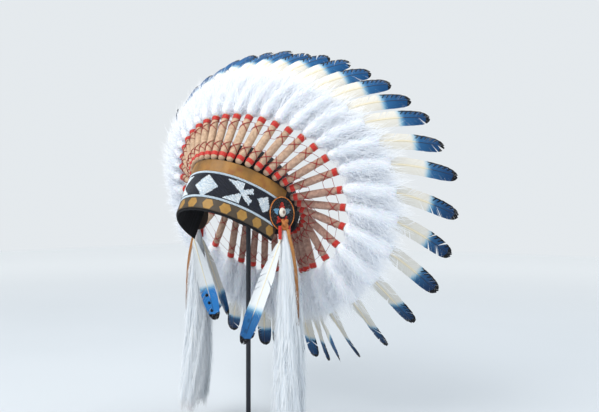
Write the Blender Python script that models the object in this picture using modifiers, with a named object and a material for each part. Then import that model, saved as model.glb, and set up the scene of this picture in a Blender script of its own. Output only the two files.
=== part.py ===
"""Feathered headdress on a plain post stand.

A ring of leather-wrapped feathers is laced round the rim of a black felt cap. A beaded brow
band runs from temple to temple below the ring, and a beaded rosette covers each of its ends.
A leather thong, two drop feathers and a white fur tail hang from each rosette.

Metres, +Z up. The origin is the centre of the stand's underside. The headdress faces -Y, and
the wearer's left is +X. An angle around the ring is 0 at the brow, 90 at the wearer's left
temple and 180 at the nape.
"""

import math
from collections import namedtuple

import bmesh
import bpy
from mathutils import Vector
from mathutils.bvhtree import BVHTree

# Rim of the cap: an oval on a plane that tilts back, high at the brow. The band and the
# cap's skirt stand square to that plane.
RIM_HALF_WIDTH = 0.0833
RIM_HALF_LENGTH = 0.1136
RIM_TILT = math.radians(27.2)
RIM_HEIGHT = 0.420
SEAT_GAP = 0.0003

# Brow band: a lining with three strips on its outer face, one under the other
BAND_HALF_ANGLE = 86.5
LINING_THICKNESS = 0.0015
STRIP_THICKNESS = 0.0015
BEADWORK_THICKNESS = 0.0020
TOP_STRIP_HEIGHT = 0.0205
BEADWORK_HEIGHT = 0.0455
LOWER_STRIP_HEIGHT = 0.0185
LINING_SHOWS = 0.0030
BAND_STEPS = 26

# Felt cap
CAP_THICKNESS = 0.0020
CAP_RISE = 0.075
CAP_SKIRT = 0.020
CAP_SHOULDER_DROP = 0.0005
CAP_SHOULDER_INSET = 0.0060
CAP_STEPS_AROUND = 32
CAP_STEPS_UP = 6

# Feathers: a wrapped barrel, then a tuft of down, then the vane
FRONT_COUNT = 26
FRONT_FIRST_ANGLE = 136.6
FRONT_PITCH = 8.628
BACK_COUNT = 12
BARREL_LENGTH = 0.087
BARREL_RADIUS = 0.0064
NAPE_SEAT_DROP = 0.0035
FEATHER_LENGTH = 0.200
FEATHER_STIFFNESS = 0.38
DOWN_FILL = 0.84
DOWN_HALF_THICKNESS = 0.015
VANE_HALF_WIDTH = 0.013
VANE_HALF_THICKNESS = 0.0008
VANE_TWIST = math.radians(10)
FEATHER_SIDES = 6

# How the fan opens: at each angle, the way that the barrel and the feather point. The numbers
# of a direction are shares: wearer's left, back and up.
Station = namedtuple(
    "Station",
    "around barrel_left barrel_back barrel_up feather_left feather_back feather_up",
)
STATIONS = [
    Station(-180, -0.05, 0.25, -0.97, -0.17, 0.46, -0.87),
    Station(-160, -0.18, 0.22, -0.96, -0.31, 0.45, -0.84),
    Station(-138, -0.27, 0.16, -0.95, -0.46, 0.44, -0.77),
    Station(-120, -0.38, 0.19, -0.91, -0.70, 0.46, -0.55),
    Station(-105, -0.76, 0.28, -0.59, -0.80, 0.52, -0.15),
    Station(-90, -0.92, 0.34, -0.18, -0.78, 0.56, 0.28),
    Station(-75, -0.91, 0.38, 0.15, -0.70, 0.49, 0.52),
    Station(-60, -0.82, 0.42, 0.39, -0.56, 0.49, 0.67),
    Station(-30, -0.54, 0.46, 0.71, -0.24, 0.60, 0.76),
    Station(0, -0.19, 0.47, 0.86, 0.07, 0.68, 0.73),
    Station(30, 0.18, 0.47, 0.87, 0.36, 0.72, 0.60),
    Station(60, 0.57, 0.44, 0.69, 0.59, 0.73, 0.34),
    Station(75, 0.76, 0.41, 0.51, 0.66, 0.73, 0.14),
    Station(90, 0.90, 0.37, 0.22, 0.67, 0.73, -0.14),
    Station(105, 0.93, 0.30, -0.19, 0.56, 0.70, -0.44),
    Station(120, 0.72, 0.20, -0.67, 0.36, 0.63, -0.69),
    Station(138, 0.18, 0.13, -0.98, 0.11, 0.53, -0.84),
    Station(160, 0.05, 0.21, -0.98, -0.03, 0.50, -0.87),
]

# Sections of one feather. Lengths are shares of the named sizes above.
BarrelSection = namedtuple("BarrelSection", "along radius")
BARREL_SECTIONS = [
    BarrelSection(0.0, 0.62),
    BarrelSection(0.035, 0.86),
    BarrelSection(0.11, 0.88),
    BarrelSection(0.50, 1.00),
    BarrelSection(0.90, 0.90),
    BarrelSection(1.0, 0.86),
]
PlumeSection = namedtuple("PlumeSection", "along width thickness")
DOWN_SECTIONS = [
    PlumeSection(0.02, 0.70, 0.45),
    PlumeSection(0.10, 0.96, 0.90),
    PlumeSection(0.26, 1.00, 1.00),
    PlumeSection(0.42, 0.86, 0.60),
]
VANE_SECTIONS = [
    PlumeSection(0.52, 0.92, 1.00),
    PlumeSection(0.80, 1.00, 1.00),
    PlumeSection(0.92, 0.93, 0.90),
    PlumeSection(0.98, 0.62, 0.80),
    PlumeSection(1.00, 0.16, 0.60),
]

# Rosettes, and what hangs from them
ROSETTE_ANGLE = 86.0
ROSETTE_LIFT = 0.0030
ROSETTE_RADIUS = 0.027
ROSETTE_THICKNESS = 0.0030
ROSETTE_RIM_RADIUS = 0.0012
CONCHO_RADIUS = 0.0075
CONCHO_RISE = 0.0040
CONCHO_LIFT = 0.0020
CrownSection = namedtuple("CrownSection", "radius height")
CONCHO_SECTIONS = [
    CrownSection(0.00, 1.00),
    CrownSection(0.55, 0.86),
    CrownSection(0.88, 0.55),
    CrownSection(1.00, 0.20),
    CrownSection(1.00, 0.00),
    CrownSection(0.00, 0.00),
]
KNOT_HALF_WIDTH = 0.0080
KNOT_HALF_DEPTH = 0.0050
KNOT_HALF_HEIGHT = 0.0100
KNOT_GAP = 0.0010
QUILL_RADIUS = 0.0029
QUILL_LENGTH = 0.0210
QUILL_TAPER = 0.0020
QUILL_SECTIONS = [
    BarrelSection(0.00, 0.70),
    BarrelSection(0.08, 1.00),
    BarrelSection(0.92, 1.00),
    BarrelSection(1.00, 0.70),
]
DROP_HALF_WIDTH = 0.0120
DROP_HALF_THICKNESS = 0.0008
DROP_SECTIONS = [
    PlumeSection(0.00, 0.26, 2.00),
    PlumeSection(0.12, 0.50, 1.40),
    PlumeSection(0.35, 0.92, 1.00),
    PlumeSection(0.75, 1.00, 1.00),
    PlumeSection(0.93, 0.72, 0.90),
    PlumeSection(1.00, 0.14, 0.60),
]
# Where each drop feather leans, as shares of its length
DropFeather = namedtuple("DropFeather", "name side forward length lean_back lean_in")
DROP_FEATHERS = [
    DropFeather("drop_feather_left_front", 1, 1, 0.166, -0.42, 0.14),
    DropFeather("drop_feather_left_rear", 1, -1, 0.120, 0.28, 0.16),
    DropFeather("drop_feather_right_front", -1, 1, 0.125, 0.24, 0.38),
    DropFeather("drop_feather_right_rear", -1, -1, 0.160, 0.34, 0.12),
]
TAIL_LENGTH = 0.318
TAIL_HALF_WIDTH = 0.025
TAIL_HALF_THICKNESS = 0.012
TAIL_STANDOFF = 0.019
TAIL_RIBS = 5
TAIL_RIB_DEPTH = 0.16
TailSection = namedtuple("TailSection", "along width thickness standoff")
TAIL_SECTIONS = [
    TailSection(0.00, 0.16, 0.24, 0.48),
    TailSection(0.05, 0.29, 0.38, 0.64),
    TailSection(0.11, 0.44, 0.50, 0.86),
    TailSection(0.20, 0.60, 0.72, 0.96),
    TailSection(0.33, 0.78, 0.90, 1.00),
    TailSection(0.55, 0.95, 1.00, 1.00),
    TailSection(0.80, 1.00, 1.00, 0.96),
    TailSection(0.92, 0.80, 0.80, 0.92),
    TailSection(0.98, 0.46, 0.46, 0.90),
    TailSection(1.00, 0.12, 0.14, 0.90),
]

# The route of a hanging thong, from the knot down: metres out from the band, and down
THONG_WIDTH = 0.005
THONG_ROUTE = (
    (0.0164, -0.0018),
    (0.0186, 0.0085),
    (0.0216, 0.0175),
    (0.0244, 0.0265),
    (0.0268, 0.0360),
    (0.0288, 0.0455),
    (0.0304, 0.0555),
    (0.0316, 0.0655),
    (0.0326, 0.0755),
    (0.0333, 0.0855),
    (0.0338, 0.0955),
    (0.0342, 0.1055),
    (0.0345, 0.1155),
    (0.0346, 0.1255),
    (0.0346, 0.1355),
    (0.0345, 0.1455),
)

# Stand
POST_RADIUS = 0.004
POST_BALL_RADIUS = 0.015
POST_STEP = 0.0001
BASE_RADIUS = 0.130
BASE_THICKNESS = 0.010
BASE_EDGE = 0.002
TURNED_STEPS = 24
BALL_STEPS = 8

# Derived directions: to the front of the rim's plane, and square to it
RIM_FRONT = Vector((0, -math.cos(RIM_TILT), math.sin(RIM_TILT)))
RIM_UP = Vector((0, math.sin(RIM_TILT), math.cos(RIM_TILT)))
PLUMB = Vector((0, 0, -1))

# Derived places across the band wall: 0 is the seam between lining and strips, + is outward
LINING_OUTER = -SEAT_GAP / 2
LINING_INNER = LINING_OUTER - LINING_THICKNESS
STRIP_INNER = SEAT_GAP / 2
STRIP_OUTER = STRIP_INNER + STRIP_THICKNESS
BEADWORK_OUTER = STRIP_INNER + BEADWORK_THICKNESS
CAP_OUTER = LINING_INNER - SEAT_GAP

# Derived places down the band wall, below the rim
BEADWORK_TOP = TOP_STRIP_HEIGHT + SEAT_GAP
BEADWORK_BOTTOM = BEADWORK_TOP + BEADWORK_HEIGHT
LOWER_STRIP_TOP = BEADWORK_BOTTOM + SEAT_GAP
LOWER_STRIP_BOTTOM = LOWER_STRIP_TOP + LOWER_STRIP_HEIGHT
LINING_BOTTOM = LOWER_STRIP_BOTTOM + LINING_SHOWS
ROSETTE_DROP = (BEADWORK_TOP + BEADWORK_BOTTOM) / 2 - ROSETTE_LIFT

# Derived places out from the band at a rosette
ROSETTE_BACK = BEADWORK_OUTER + SEAT_GAP
ROSETTE_FRONT = ROSETTE_BACK + ROSETTE_THICKNESS
KNOT_OUT = ROSETTE_FRONT + SEAT_GAP + KNOT_HALF_DEPTH
KNOT_DROP = CONCHO_RADIUS - CONCHO_LIFT + KNOT_GAP + KNOT_HALF_HEIGHT
QUILL_OUT = ROSETTE_FRONT + ROSETTE_RIM_RADIUS + SEAT_GAP + QUILL_RADIUS
QUILL_SIDE = KNOT_HALF_WIDTH + SEAT_GAP + QUILL_RADIUS
QUILL_DROP = KNOT_DROP + QUILL_RADIUS
HANG_DROP = KNOT_DROP + KNOT_HALF_HEIGHT + SEAT_GAP


def clear_scene():
    for old in list(bpy.data.objects):
        bpy.data.objects.remove(old, do_unlink=True)


def new_collection(name):
    collection = bpy.data.collections.new(name)
    bpy.context.scene.collection.children.link(collection)
    return collection


def make_material(name, colour, roughness, metallic=0.0):
    material = bpy.data.materials.new(name)
    material.use_nodes = True
    shader = material.node_tree.nodes["Principled BSDF"]
    shader.inputs["Base Color"].default_value = (*colour, 1.0)
    shader.inputs["Roughness"].default_value = roughness
    shader.inputs["Metallic"].default_value = metallic
    return material


def place(name, data, material, collection):
    piece = bpy.data.objects.new(name, data)
    piece.data.materials.append(material)
    collection.objects.link(piece)
    return piece


# The rim and the directions round it


def rim_point(around):
    angle = math.radians(around)
    width = Vector((RIM_HALF_WIDTH * math.sin(angle), 0, RIM_HEIGHT))
    return width + RIM_FRONT * RIM_HALF_LENGTH * math.cos(angle)


def rim_outward(around):
    angle = math.radians(around)
    width = Vector((RIM_HALF_LENGTH * math.sin(angle), 0, 0))
    return (width + RIM_FRONT * RIM_HALF_WIDTH * math.cos(angle)).normalized()


def wall_point(around, out, down):
    return rim_point(around) + rim_outward(around) * out - RIM_UP * down


def station_directions(around):
    """The barrel's and the feather's direction at an angle, smooth between the stations."""
    around = (around + 180) % 360 - 180
    count = len(STATIONS)
    here = max(row for row in range(count) if STATIONS[row].around <= around)

    def row_at(index):
        turns, row = divmod(index, count)
        return STATIONS[row].around + 360 * turns, Vector(STATIONS[row][1:])

    (a0, v0), (a1, v1), (a2, v2), (a3, v3) = (row_at(here + step) for step in (-1, 0, 1, 2))
    share = (around - a1) / (a2 - a1)
    slope1 = (v2 - v0) / (a2 - a0) * (a2 - a1)
    slope2 = (v3 - v1) / (a3 - a1) * (a2 - a1)
    blend = (
        v1 * (2 * share**3 - 3 * share**2 + 1)
        + slope1 * (share**3 - 2 * share**2 + share)
        + v2 * (3 * share**2 - 2 * share**3)
        + slope2 * (share**3 - share**2)
    )
    return Vector(blend[0:3]).normalized(), Vector(blend[3:6]).normalized()


# Feathers


def feather_path(seat, barrel, feather, along):
    """A point of a feather's shaft, and its direction. 0 to 1 is the barrel, 1 to 2 the rest."""
    if along <= 1:
        return seat + barrel * BARREL_LENGTH * along, barrel
    share = along - 1
    start = seat + barrel * BARREL_LENGTH
    middle = start + barrel * FEATHER_LENGTH * FEATHER_STIFFNESS
    end = start + feather * FEATHER_LENGTH
    point = start * (1 - share) ** 2 + middle * 2 * share * (1 - share) + end * share**2
    direction = (middle - start) * (1 - share) + (end - middle) * share
    return point, direction.normalized()


def across_fan(around, along, shaft):
    """The width direction of a feather: the way to the next feather, square to its shaft."""
    step = 1.0
    points = []
    for angle in (around - step, around + step):
        barrel, feather = station_directions(angle)
        points.append(feather_path(rim_point(angle), barrel, feather, along)[0])
    across = points[1] - points[0]
    across -= shaft * across.dot(shaft)
    across.normalize()
    return across * math.cos(VANE_TWIST) + across.cross(shaft) * math.sin(VANE_TWIST)


def oval(centre, across, shaft, half_width, half_thickness, sides=FEATHER_SIDES):
    thick = across.cross(shaft).normalized()
    ring = []
    for step in range(sides):
        angle = 2 * math.pi * step / sides
        offset = across * half_width * math.cos(angle) + thick * half_thickness * math.sin(angle)
        ring.append(centre + offset)
    return ring


def spacing(around, along, pitch):
    """How far apart two neighbouring feathers are, pitch degrees round the rim."""
    points = []
    for angle in (around - pitch / 2, around + pitch / 2):
        barrel, feather = station_directions(angle)
        points.append(feather_path(rim_point(angle), barrel, feather, along)[0])
    return (points[1] - points[0]).length


def butt_points(around, barrel):
    """The points of a barrel's rounded butt, with the butt's centre at zero."""
    points = []
    for along, radius in BARREL_SECTIONS[:2]:
        point, shaft = feather_path(Vector((0, 0, 0)), barrel, barrel, along)
        across = across_fan(around, along, shaft)
        points += oval(point, across, shaft, BARREL_RADIUS * radius, BARREL_RADIUS * radius)
    return points


def barrel_seat(around, barrel):
    """The centre of a barrel's butt, just clear of the band's top edge or of the cap."""
    outward = rim_outward(around)
    lean = barrel.dot(outward)
    points = butt_points(around, barrel)
    if abs(around) > BAND_HALF_ANGLE + math.degrees(BARREL_RADIUS / RIM_HALF_LENGTH):
        nearest = min(point.dot(outward) for point in points)
        return wall_point(around, CAP_OUTER + SEAT_GAP - nearest, NAPE_SEAT_DROP)
    if lean < 0:
        lowest = min(point.dot(RIM_UP) for point in points)
        return rim_point(around) + barrel * (SEAT_GAP - lowest) / barrel.dot(RIM_UP)
    butt = BARREL_RADIUS * BARREL_SECTIONS[0].radius
    along = abs(barrel.dot(outward.cross(RIM_UP)))
    lift = STRIP_OUTER * lean + butt * along + SEAT_GAP
    return rim_point(around) + barrel * lift


def feather_rings(around, pitch):
    barrel, feather = station_directions(around)
    seat = barrel_seat(around, barrel)
    rings = []
    for along, radius in BARREL_SECTIONS:
        point, shaft = feather_path(seat, barrel, feather, along)
        across = across_fan(around, along, shaft)
        rings.append(oval(point, across, shaft, BARREL_RADIUS * radius, BARREL_RADIUS * radius))
    plume = []
    for row in DOWN_SECTIONS:
        room = spacing(around, 1 + row.along, pitch) / 2
        plume.append((row, room * DOWN_FILL, DOWN_HALF_THICKNESS))
    for row in VANE_SECTIONS:
        plume.append((row, VANE_HALF_WIDTH, VANE_HALF_THICKNESS))
    for (along, width, thickness), full_width, full_thickness in plume:
        point, shaft = feather_path(seat, barrel, feather, 1 + along)
        across = across_fan(around, 1 + along, shaft)
        rings.append(oval(point, across, shaft, full_width * width, full_thickness * thickness))
    return rings


def loft(name, rings, material, collection):
    """One closed body through rings that all have the same number of points."""
    mesh = bpy.data.meshes.new(name)
    shape = bmesh.new()
    layers = [[shape.verts.new(point) for point in ring] for ring in rings]
    for lower, upper in zip(layers, layers[1:]):
        for corner in range(len(lower)):
            following = (corner + 1) % len(lower)
            shape.faces.new((lower[corner], lower[following], upper[following], upper[corner]))
    shape.faces.new(layers[0])
    shape.faces.new(layers[-1])
    bmesh.ops.triangulate(shape, faces=shape.faces)
    bmesh.ops.recalc_face_normals(shape, faces=shape.faces)
    shape.to_mesh(mesh)
    shape.free()
    mesh.shade_smooth()
    mesh.set_sharp_from_angle(angle=math.radians(50))
    return place(name, mesh, material, collection)


def feather_places():
    """The angle of each feather round the rim, and its pitch, from the left nape forward."""
    last = FRONT_FIRST_ANGLE - FRONT_PITCH * (FRONT_COUNT - 1)
    places = [(FRONT_FIRST_ANGLE - FRONT_PITCH * number, FRONT_PITCH) for number in range(FRONT_COUNT)]
    back_pitch = (360 - FRONT_FIRST_ANGLE + last) / (BACK_COUNT + 1)
    places += [(last - back_pitch * (number + 1), back_pitch) for number in range(BACK_COUNT)]
    return [((around + 180) % 360 - 180, pitch) for around, pitch in places]


def build_feathers(collection):
    material = make_material("cream_feather", (0.86, 0.83, 0.76), 0.75)
    for number, (around, pitch) in enumerate(feather_places(), start=1):
        loft(f"feather_{number:02d}", feather_rings(around, pitch), material, collection)


# Band and cap


def sheet(name, rows, closed, thickness, outward, material, collection, crown=None):
    """An open surface through rows of points, closed at a crown, made solid by its thickness."""
    mesh = bpy.data.meshes.new(name)
    shape = bmesh.new()
    layers = [[shape.verts.new(point) for point in row] for row in rows]
    for lower, upper in zip(layers, layers[1:]):
        steps = len(lower) if closed else len(lower) - 1
        for corner in range(steps):
            following = (corner + 1) % len(lower)
            shape.faces.new((lower[corner], lower[following], upper[following], upper[corner]))
    if crown:
        top = shape.verts.new(crown)
        for corner, vertex in enumerate(layers[-1]):
            shape.faces.new((vertex, layers[-1][(corner + 1) % len(layers[-1])], top))
    shape.to_mesh(mesh)
    shape.free()
    mesh.shade_smooth()
    piece = place(name, mesh, material, collection)
    wall = piece.modifiers.new("wall", "SOLIDIFY")
    wall.thickness = thickness
    wall.offset = 1 if outward else -1
    wall.use_even_offset = True
    return piece


def build_strip(name, inner, thickness, top, bottom, material, collection):
    step = 2 * BAND_HALF_ANGLE / BAND_STEPS
    angles = [-BAND_HALF_ANGLE + step * number for number in range(BAND_STEPS + 1)]
    rows = [[wall_point(angle, inner, down) for angle in angles] for down in (bottom, top)]
    return sheet(name, rows, False, thickness, True, material, collection)


def build_band(collection):
    black = make_material("black_lining", (0.015, 0.015, 0.017), 0.9)
    tan = make_material("tan_leather", (0.36, 0.20, 0.05), 0.55)
    beads = make_material("navy_beads", (0.01, 0.02, 0.04), 0.35)
    spotted = make_material("spotted_leather", (0.13, 0.09, 0.04), 0.6)
    build_strip("band_lining", LINING_INNER, LINING_THICKNESS, 0, LINING_BOTTOM, black, collection)
    build_strip("tan_leather_strip", STRIP_INNER, STRIP_THICKNESS, 0, TOP_STRIP_HEIGHT, tan, collection)
    build_strip(
        "beaded_brow_band",
        STRIP_INNER,
        BEADWORK_THICKNESS,
        BEADWORK_TOP,
        BEADWORK_BOTTOM,
        beads,
        collection,
    )
    build_strip(
        "spotted_leather_strip",
        STRIP_INNER,
        STRIP_THICKNESS,
        LOWER_STRIP_TOP,
        LOWER_STRIP_BOTTOM,
        spotted,
        collection,
    )


def dome_point(around, climb, inset=0.0):
    """A point of the cap's outer dome: climb is 0 at the rim and 1 at the crown."""
    centre = Vector((0, 0, RIM_HEIGHT))
    edge = wall_point(around, CAP_OUTER - CAP_SHOULDER_INSET - inset, 0) - centre
    angle = climb * math.pi / 2
    return centre + edge * math.cos(angle) + RIM_UP * (CAP_RISE - inset) * math.sin(angle)


def build_cap(collection):
    felt = make_material("black_felt", (0.02, 0.02, 0.022), 0.95)
    angles = [360 * number / CAP_STEPS_AROUND for number in range(CAP_STEPS_AROUND)]
    edges = (CAP_SKIRT, CAP_SHOULDER_DROP)
    rows = [[wall_point(angle, CAP_OUTER, down) for angle in angles] for down in edges]
    for number in range(CAP_STEPS_UP):
        climb = number / CAP_STEPS_UP
        rows.append([dome_point(angle, climb) for angle in angles])
    crown = dome_point(0, 1)
    return sheet("felt_cap", rows, True, CAP_THICKNESS, False, felt, collection, crown)


# Rosettes, and what hangs from them


class Temple:
    """Places at one rosette, told by metres out from the band, toward the back, and down.

    Down follows the band's wall as far as the rosette's edge, and is plumb from there.
    """

    def __init__(self, side):
        self.side = side
        around = side * ROSETTE_ANGLE
        self.outward = rim_outward(around)
        self.wall_down = (PLUMB - self.outward * PLUMB.dot(self.outward)).normalized()
        self.backward = self.outward.cross(self.wall_down) * side
        self.centre = wall_point(around, 0, ROSETTE_DROP)
        self.label = "left" if side > 0 else "right"

    def point(self, out, back, down):
        on_wall = min(down, ROSETTE_RADIUS)
        across = self.outward * out + self.backward * back
        return self.centre + across + self.wall_down * on_wall + PLUMB * (down - on_wall)


def turned(name, profile, material, collection):
    """A body of revolution about its own Z. The profile runs down its outer side."""
    mesh = bpy.data.meshes.new(name)
    points = [(radius, 0, height) for radius, height in profile]
    edges = [(number, number + 1) for number in range(len(points) - 1)]
    mesh.from_pydata(points, edges, [])
    piece = place(name, mesh, material, collection)
    screw = piece.modifiers.new("turn", "SCREW")
    screw.axis = "Z"
    screw.steps = TURNED_STEPS
    screw.render_steps = TURNED_STEPS
    screw.use_merge_vertices = True
    screw.merge_threshold = 0.00001
    screw.use_smooth_shade = True
    return piece


def face_outward(piece, temple, place_at):
    """Turns a piece so that its own Z faces out from the band and its own Y up."""
    piece.rotation_euler = temple.outward.to_track_quat("Z", "Y").to_euler()
    piece.location = place_at


def build_rosette(temple, collection):
    ground = make_material("rosette_beads", (0.02, 0.02, 0.025), 0.35)
    rim = ROSETTE_RADIUS - ROSETTE_RIM_RADIUS
    profile = [
        (0, ROSETTE_THICKNESS),
        (rim - ROSETTE_RIM_RADIUS, ROSETTE_THICKNESS),
        (rim, ROSETTE_THICKNESS + ROSETTE_RIM_RADIUS),
        (ROSETTE_RADIUS, ROSETTE_THICKNESS),
        (ROSETTE_RADIUS, 0),
        (0, 0),
    ]
    disc = turned(f"rosette_{temple.label}", profile, ground, collection)
    face_outward(disc, temple, temple.point(ROSETTE_BACK, 0, 0))

    bone = make_material("bone_concho", (0.80, 0.74, 0.64), 0.35)
    profile = [(CONCHO_RADIUS * row.radius, CONCHO_RISE * row.height) for row in CONCHO_SECTIONS]
    concho = turned(f"concho_{temple.label}", profile, bone, collection)
    face_outward(concho, temple, temple.point(ROSETTE_FRONT + SEAT_GAP, 0, -CONCHO_LIFT))


def build_knot(temple, collection):
    leather = make_material("thong_leather", (0.45, 0.22, 0.08), 0.6)
    mesh = bpy.data.meshes.new(f"thong_knot_{temple.label}")
    shape = bmesh.new()
    bmesh.ops.create_uvsphere(shape, u_segments=12, v_segments=8, radius=1.0)
    size = Vector((KNOT_HALF_WIDTH, KNOT_HALF_HEIGHT, KNOT_HALF_DEPTH))
    bmesh.ops.scale(shape, vec=size, verts=shape.verts)
    shape.to_mesh(mesh)
    shape.free()
    mesh.shade_smooth()
    knot = place(f"thong_knot_{temple.label}", mesh, leather, collection)
    face_outward(knot, temple, temple.point(KNOT_OUT, 0, KNOT_DROP))


def build_thong(temple, collection):
    leather = make_material("thong_leather_strip", (0.30, 0.17, 0.09), 0.65)
    curve = bpy.data.curves.new(f"hanging_thong_{temple.label}", "CURVE")
    curve.dimensions = "3D"
    curve.bevel_depth = THONG_WIDTH / 2
    curve.bevel_resolution = 2
    curve.use_fill_caps = True
    spline = curve.splines.new("POLY")
    spline.points.add(len(THONG_ROUTE) - 1)
    for point, (out, down) in zip(spline.points, THONG_ROUTE):
        point.co = (*temple.point(out, 0, HANG_DROP + down), 1)
    place(f"hanging_thong_{temple.label}", curve, leather, collection)


def build_drop_feather(drop, collection):
    temple = Temple(drop.side)
    material = make_material("drop_feather", (0.85, 0.84, 0.80), 0.7)
    back = -drop.forward * QUILL_SIDE
    across = temple.backward
    rings = []
    for along, radius in QUILL_SECTIONS:
        point = temple.point(QUILL_OUT, back, QUILL_DROP + QUILL_LENGTH * along)
        rings.append(oval(point, across, PLUMB, QUILL_RADIUS * radius, QUILL_RADIUS * radius))
    for along, width, thickness in DROP_SECTIONS:
        reach = drop.length * along
        point = temple.point(
            QUILL_OUT - drop.lean_in * reach,
            back + drop.lean_back * reach,
            QUILL_DROP + QUILL_LENGTH + QUILL_TAPER + reach,
        )
        half_width = DROP_HALF_WIDTH * width
        rings.append(oval(point, across, PLUMB, half_width, DROP_HALF_THICKNESS * thickness))
    loft(drop.name, rings, material, collection)


def build_tail(temple, collection):
    fur = make_material("white_fur", (0.88, 0.88, 0.88), 0.9)
    sides = 2 * TAIL_RIBS
    rings = []
    for along, width, thickness, standoff in TAIL_SECTIONS:
        centre = temple.point(TAIL_STANDOFF * standoff, 0, HANG_DROP + TAIL_LENGTH * along)
        ring = []
        for step in range(sides):
            angle = 2 * math.pi * step / sides
            reach = 1 - (step % 2) * TAIL_RIB_DEPTH
            across = temple.backward * TAIL_HALF_WIDTH * width * math.cos(angle)
            thick = temple.outward * TAIL_HALF_THICKNESS * thickness * math.sin(angle)
            ring.append(centre + (across + thick) * reach)
        rings.append(ring)
    loft(f"fur_tail_{temple.label}", rings, fur, collection)


def build_temples(collection):
    for side in (1, -1):
        temple = Temple(side)
        build_rosette(temple, collection)
        build_knot(temple, collection)
        build_thong(temple, collection)
        build_tail(temple, collection)
    for row in DROP_FEATHERS:
        build_drop_feather(row, collection)


# Stand


def post_top(cap):
    """The height of a ball on the post that just clears the inside of the cap."""
    inside = BVHTree.FromObject(cap, bpy.context.evaluated_depsgraph_get())
    reach = POST_BALL_RADIUS + SEAT_GAP
    height = RIM_HEIGHT
    while inside.find_nearest(Vector((0, 0, height)))[3] > reach:
        height += POST_STEP
    return height - POST_STEP


def build_stand(cap, collection):
    black = make_material("black_painted_steel", (0.02, 0.02, 0.025), 0.4, 0.3)
    base_profile = [
        (0, BASE_THICKNESS),
        (BASE_RADIUS - BASE_EDGE, BASE_THICKNESS),
        (BASE_RADIUS, BASE_THICKNESS - BASE_EDGE),
        (BASE_RADIUS, 0),
        (0, 0),
    ]
    turned("stand_base", base_profile, black, collection)
    centre = post_top(cap)
    neck = math.asin(POST_RADIUS / POST_BALL_RADIUS)
    profile = [(0, centre + POST_BALL_RADIUS)]
    for number in range(1, BALL_STEPS + 1):
        turn = (math.pi - neck) * number / BALL_STEPS
        height = centre + POST_BALL_RADIUS * math.cos(turn)
        profile.append((POST_BALL_RADIUS * math.sin(turn), height))
    profile.append((POST_RADIUS, BASE_THICKNESS + SEAT_GAP))
    profile.append((0, BASE_THICKNESS + SEAT_GAP))
    turned("stand_post", profile, black, collection)


clear_scene()
headdress = new_collection("feathered_headdress")
felt_cap = build_cap(headdress)
build_stand(felt_cap, headdress)
build_band(headdress)
build_feathers(headdress)
build_temples(headdress)
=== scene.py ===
"""The looks of the feathered headdress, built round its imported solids. Metres, +Z up."""

import math

import bpy
import numpy as np
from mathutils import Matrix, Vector


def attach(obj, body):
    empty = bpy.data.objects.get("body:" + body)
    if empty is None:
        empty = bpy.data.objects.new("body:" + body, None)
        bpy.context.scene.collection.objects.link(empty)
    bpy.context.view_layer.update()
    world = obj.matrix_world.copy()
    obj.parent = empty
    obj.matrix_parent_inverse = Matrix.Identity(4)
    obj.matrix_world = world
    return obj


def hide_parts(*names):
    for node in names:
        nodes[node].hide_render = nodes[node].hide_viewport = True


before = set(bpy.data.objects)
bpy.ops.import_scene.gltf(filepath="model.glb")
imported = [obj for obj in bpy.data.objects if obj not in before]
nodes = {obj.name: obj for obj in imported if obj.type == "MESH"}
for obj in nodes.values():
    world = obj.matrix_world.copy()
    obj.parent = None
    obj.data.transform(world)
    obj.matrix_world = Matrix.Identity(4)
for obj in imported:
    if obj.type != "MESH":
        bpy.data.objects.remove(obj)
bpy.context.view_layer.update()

scene = bpy.context.scene

# Camera: a little below the brow, in front of the wearer's left. The shift puts the fan in the
# same part of the 599 by 412 frame as in the photograph.
RING_CENTRE = Vector((0, 0, 0.420))
CAMERA_AZIMUTH = 38.78
CAMERA_ELEVATION = -2.3275
CAMERA_DISTANCE = 1.01067


def look_from(name, data, azimuth, elevation, distance):
    """Puts a camera or a lamp at angles round the ring's centre, turned toward it."""
    azimuth, elevation = math.radians(azimuth), math.radians(elevation)
    level = math.cos(elevation)
    back = Vector((math.sin(azimuth) * level, -math.cos(azimuth) * level, math.sin(elevation)))
    holder = bpy.data.objects.new(name, data)
    holder.location = RING_CENTRE + back * distance
    holder.rotation_euler = back.to_track_quat("Z", "Y").to_euler()
    scene.collection.objects.link(holder)
    return holder


camera_data = bpy.data.cameras.new("camera")
camera_data.lens = 35.66
camera_data.sensor_width = 36
camera_data.shift_x = 0.0853
camera_data.shift_y = -0.0184
camera_data.clip_start = 0.05
scene.camera = look_from("camera", camera_data, CAMERA_AZIMUTH, CAMERA_ELEVATION, CAMERA_DISTANCE)

# Studio: a big soft lamp above the brow, a weaker one at the wearer's left and one above and
# behind that edges the down, over a matt floor that is paler far off, where it meets the air.
LAMPS = (
    ("key_lamp", 0, 44, 2.4, 1.3, 40, (1.0, 0.98, 0.95)),
    ("fill_lamp", 85, 12, 2.6, 2.0, 4, (0.90, 0.96, 1.0)),
    ("top_lamp", 190, 62, 2.2, 1.6, 14, (0.96, 0.98, 1.0)),
)
AIR_COLOUR = (0.92, 0.965, 1.0, 1)
AIR_STRENGTH = 0.85
FLOOR_HALF = 6.0
scene.view_settings.view_transform = "Standard"
for name, azimuth, elevation, distance, size, power, colour in LAMPS:
    lamp = bpy.data.lights.new(name, "AREA")
    lamp.shape = "DISK"
    lamp.size = size
    lamp.energy = power
    lamp.color = colour
    look_from(name, lamp, azimuth, elevation, distance)
scene.world = bpy.data.worlds.new("studio")
scene.world.use_nodes = True
air = scene.world.node_tree.nodes["Background"]
air.inputs["Color"].default_value = AIR_COLOUR
air.inputs["Strength"].default_value = AIR_STRENGTH


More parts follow.
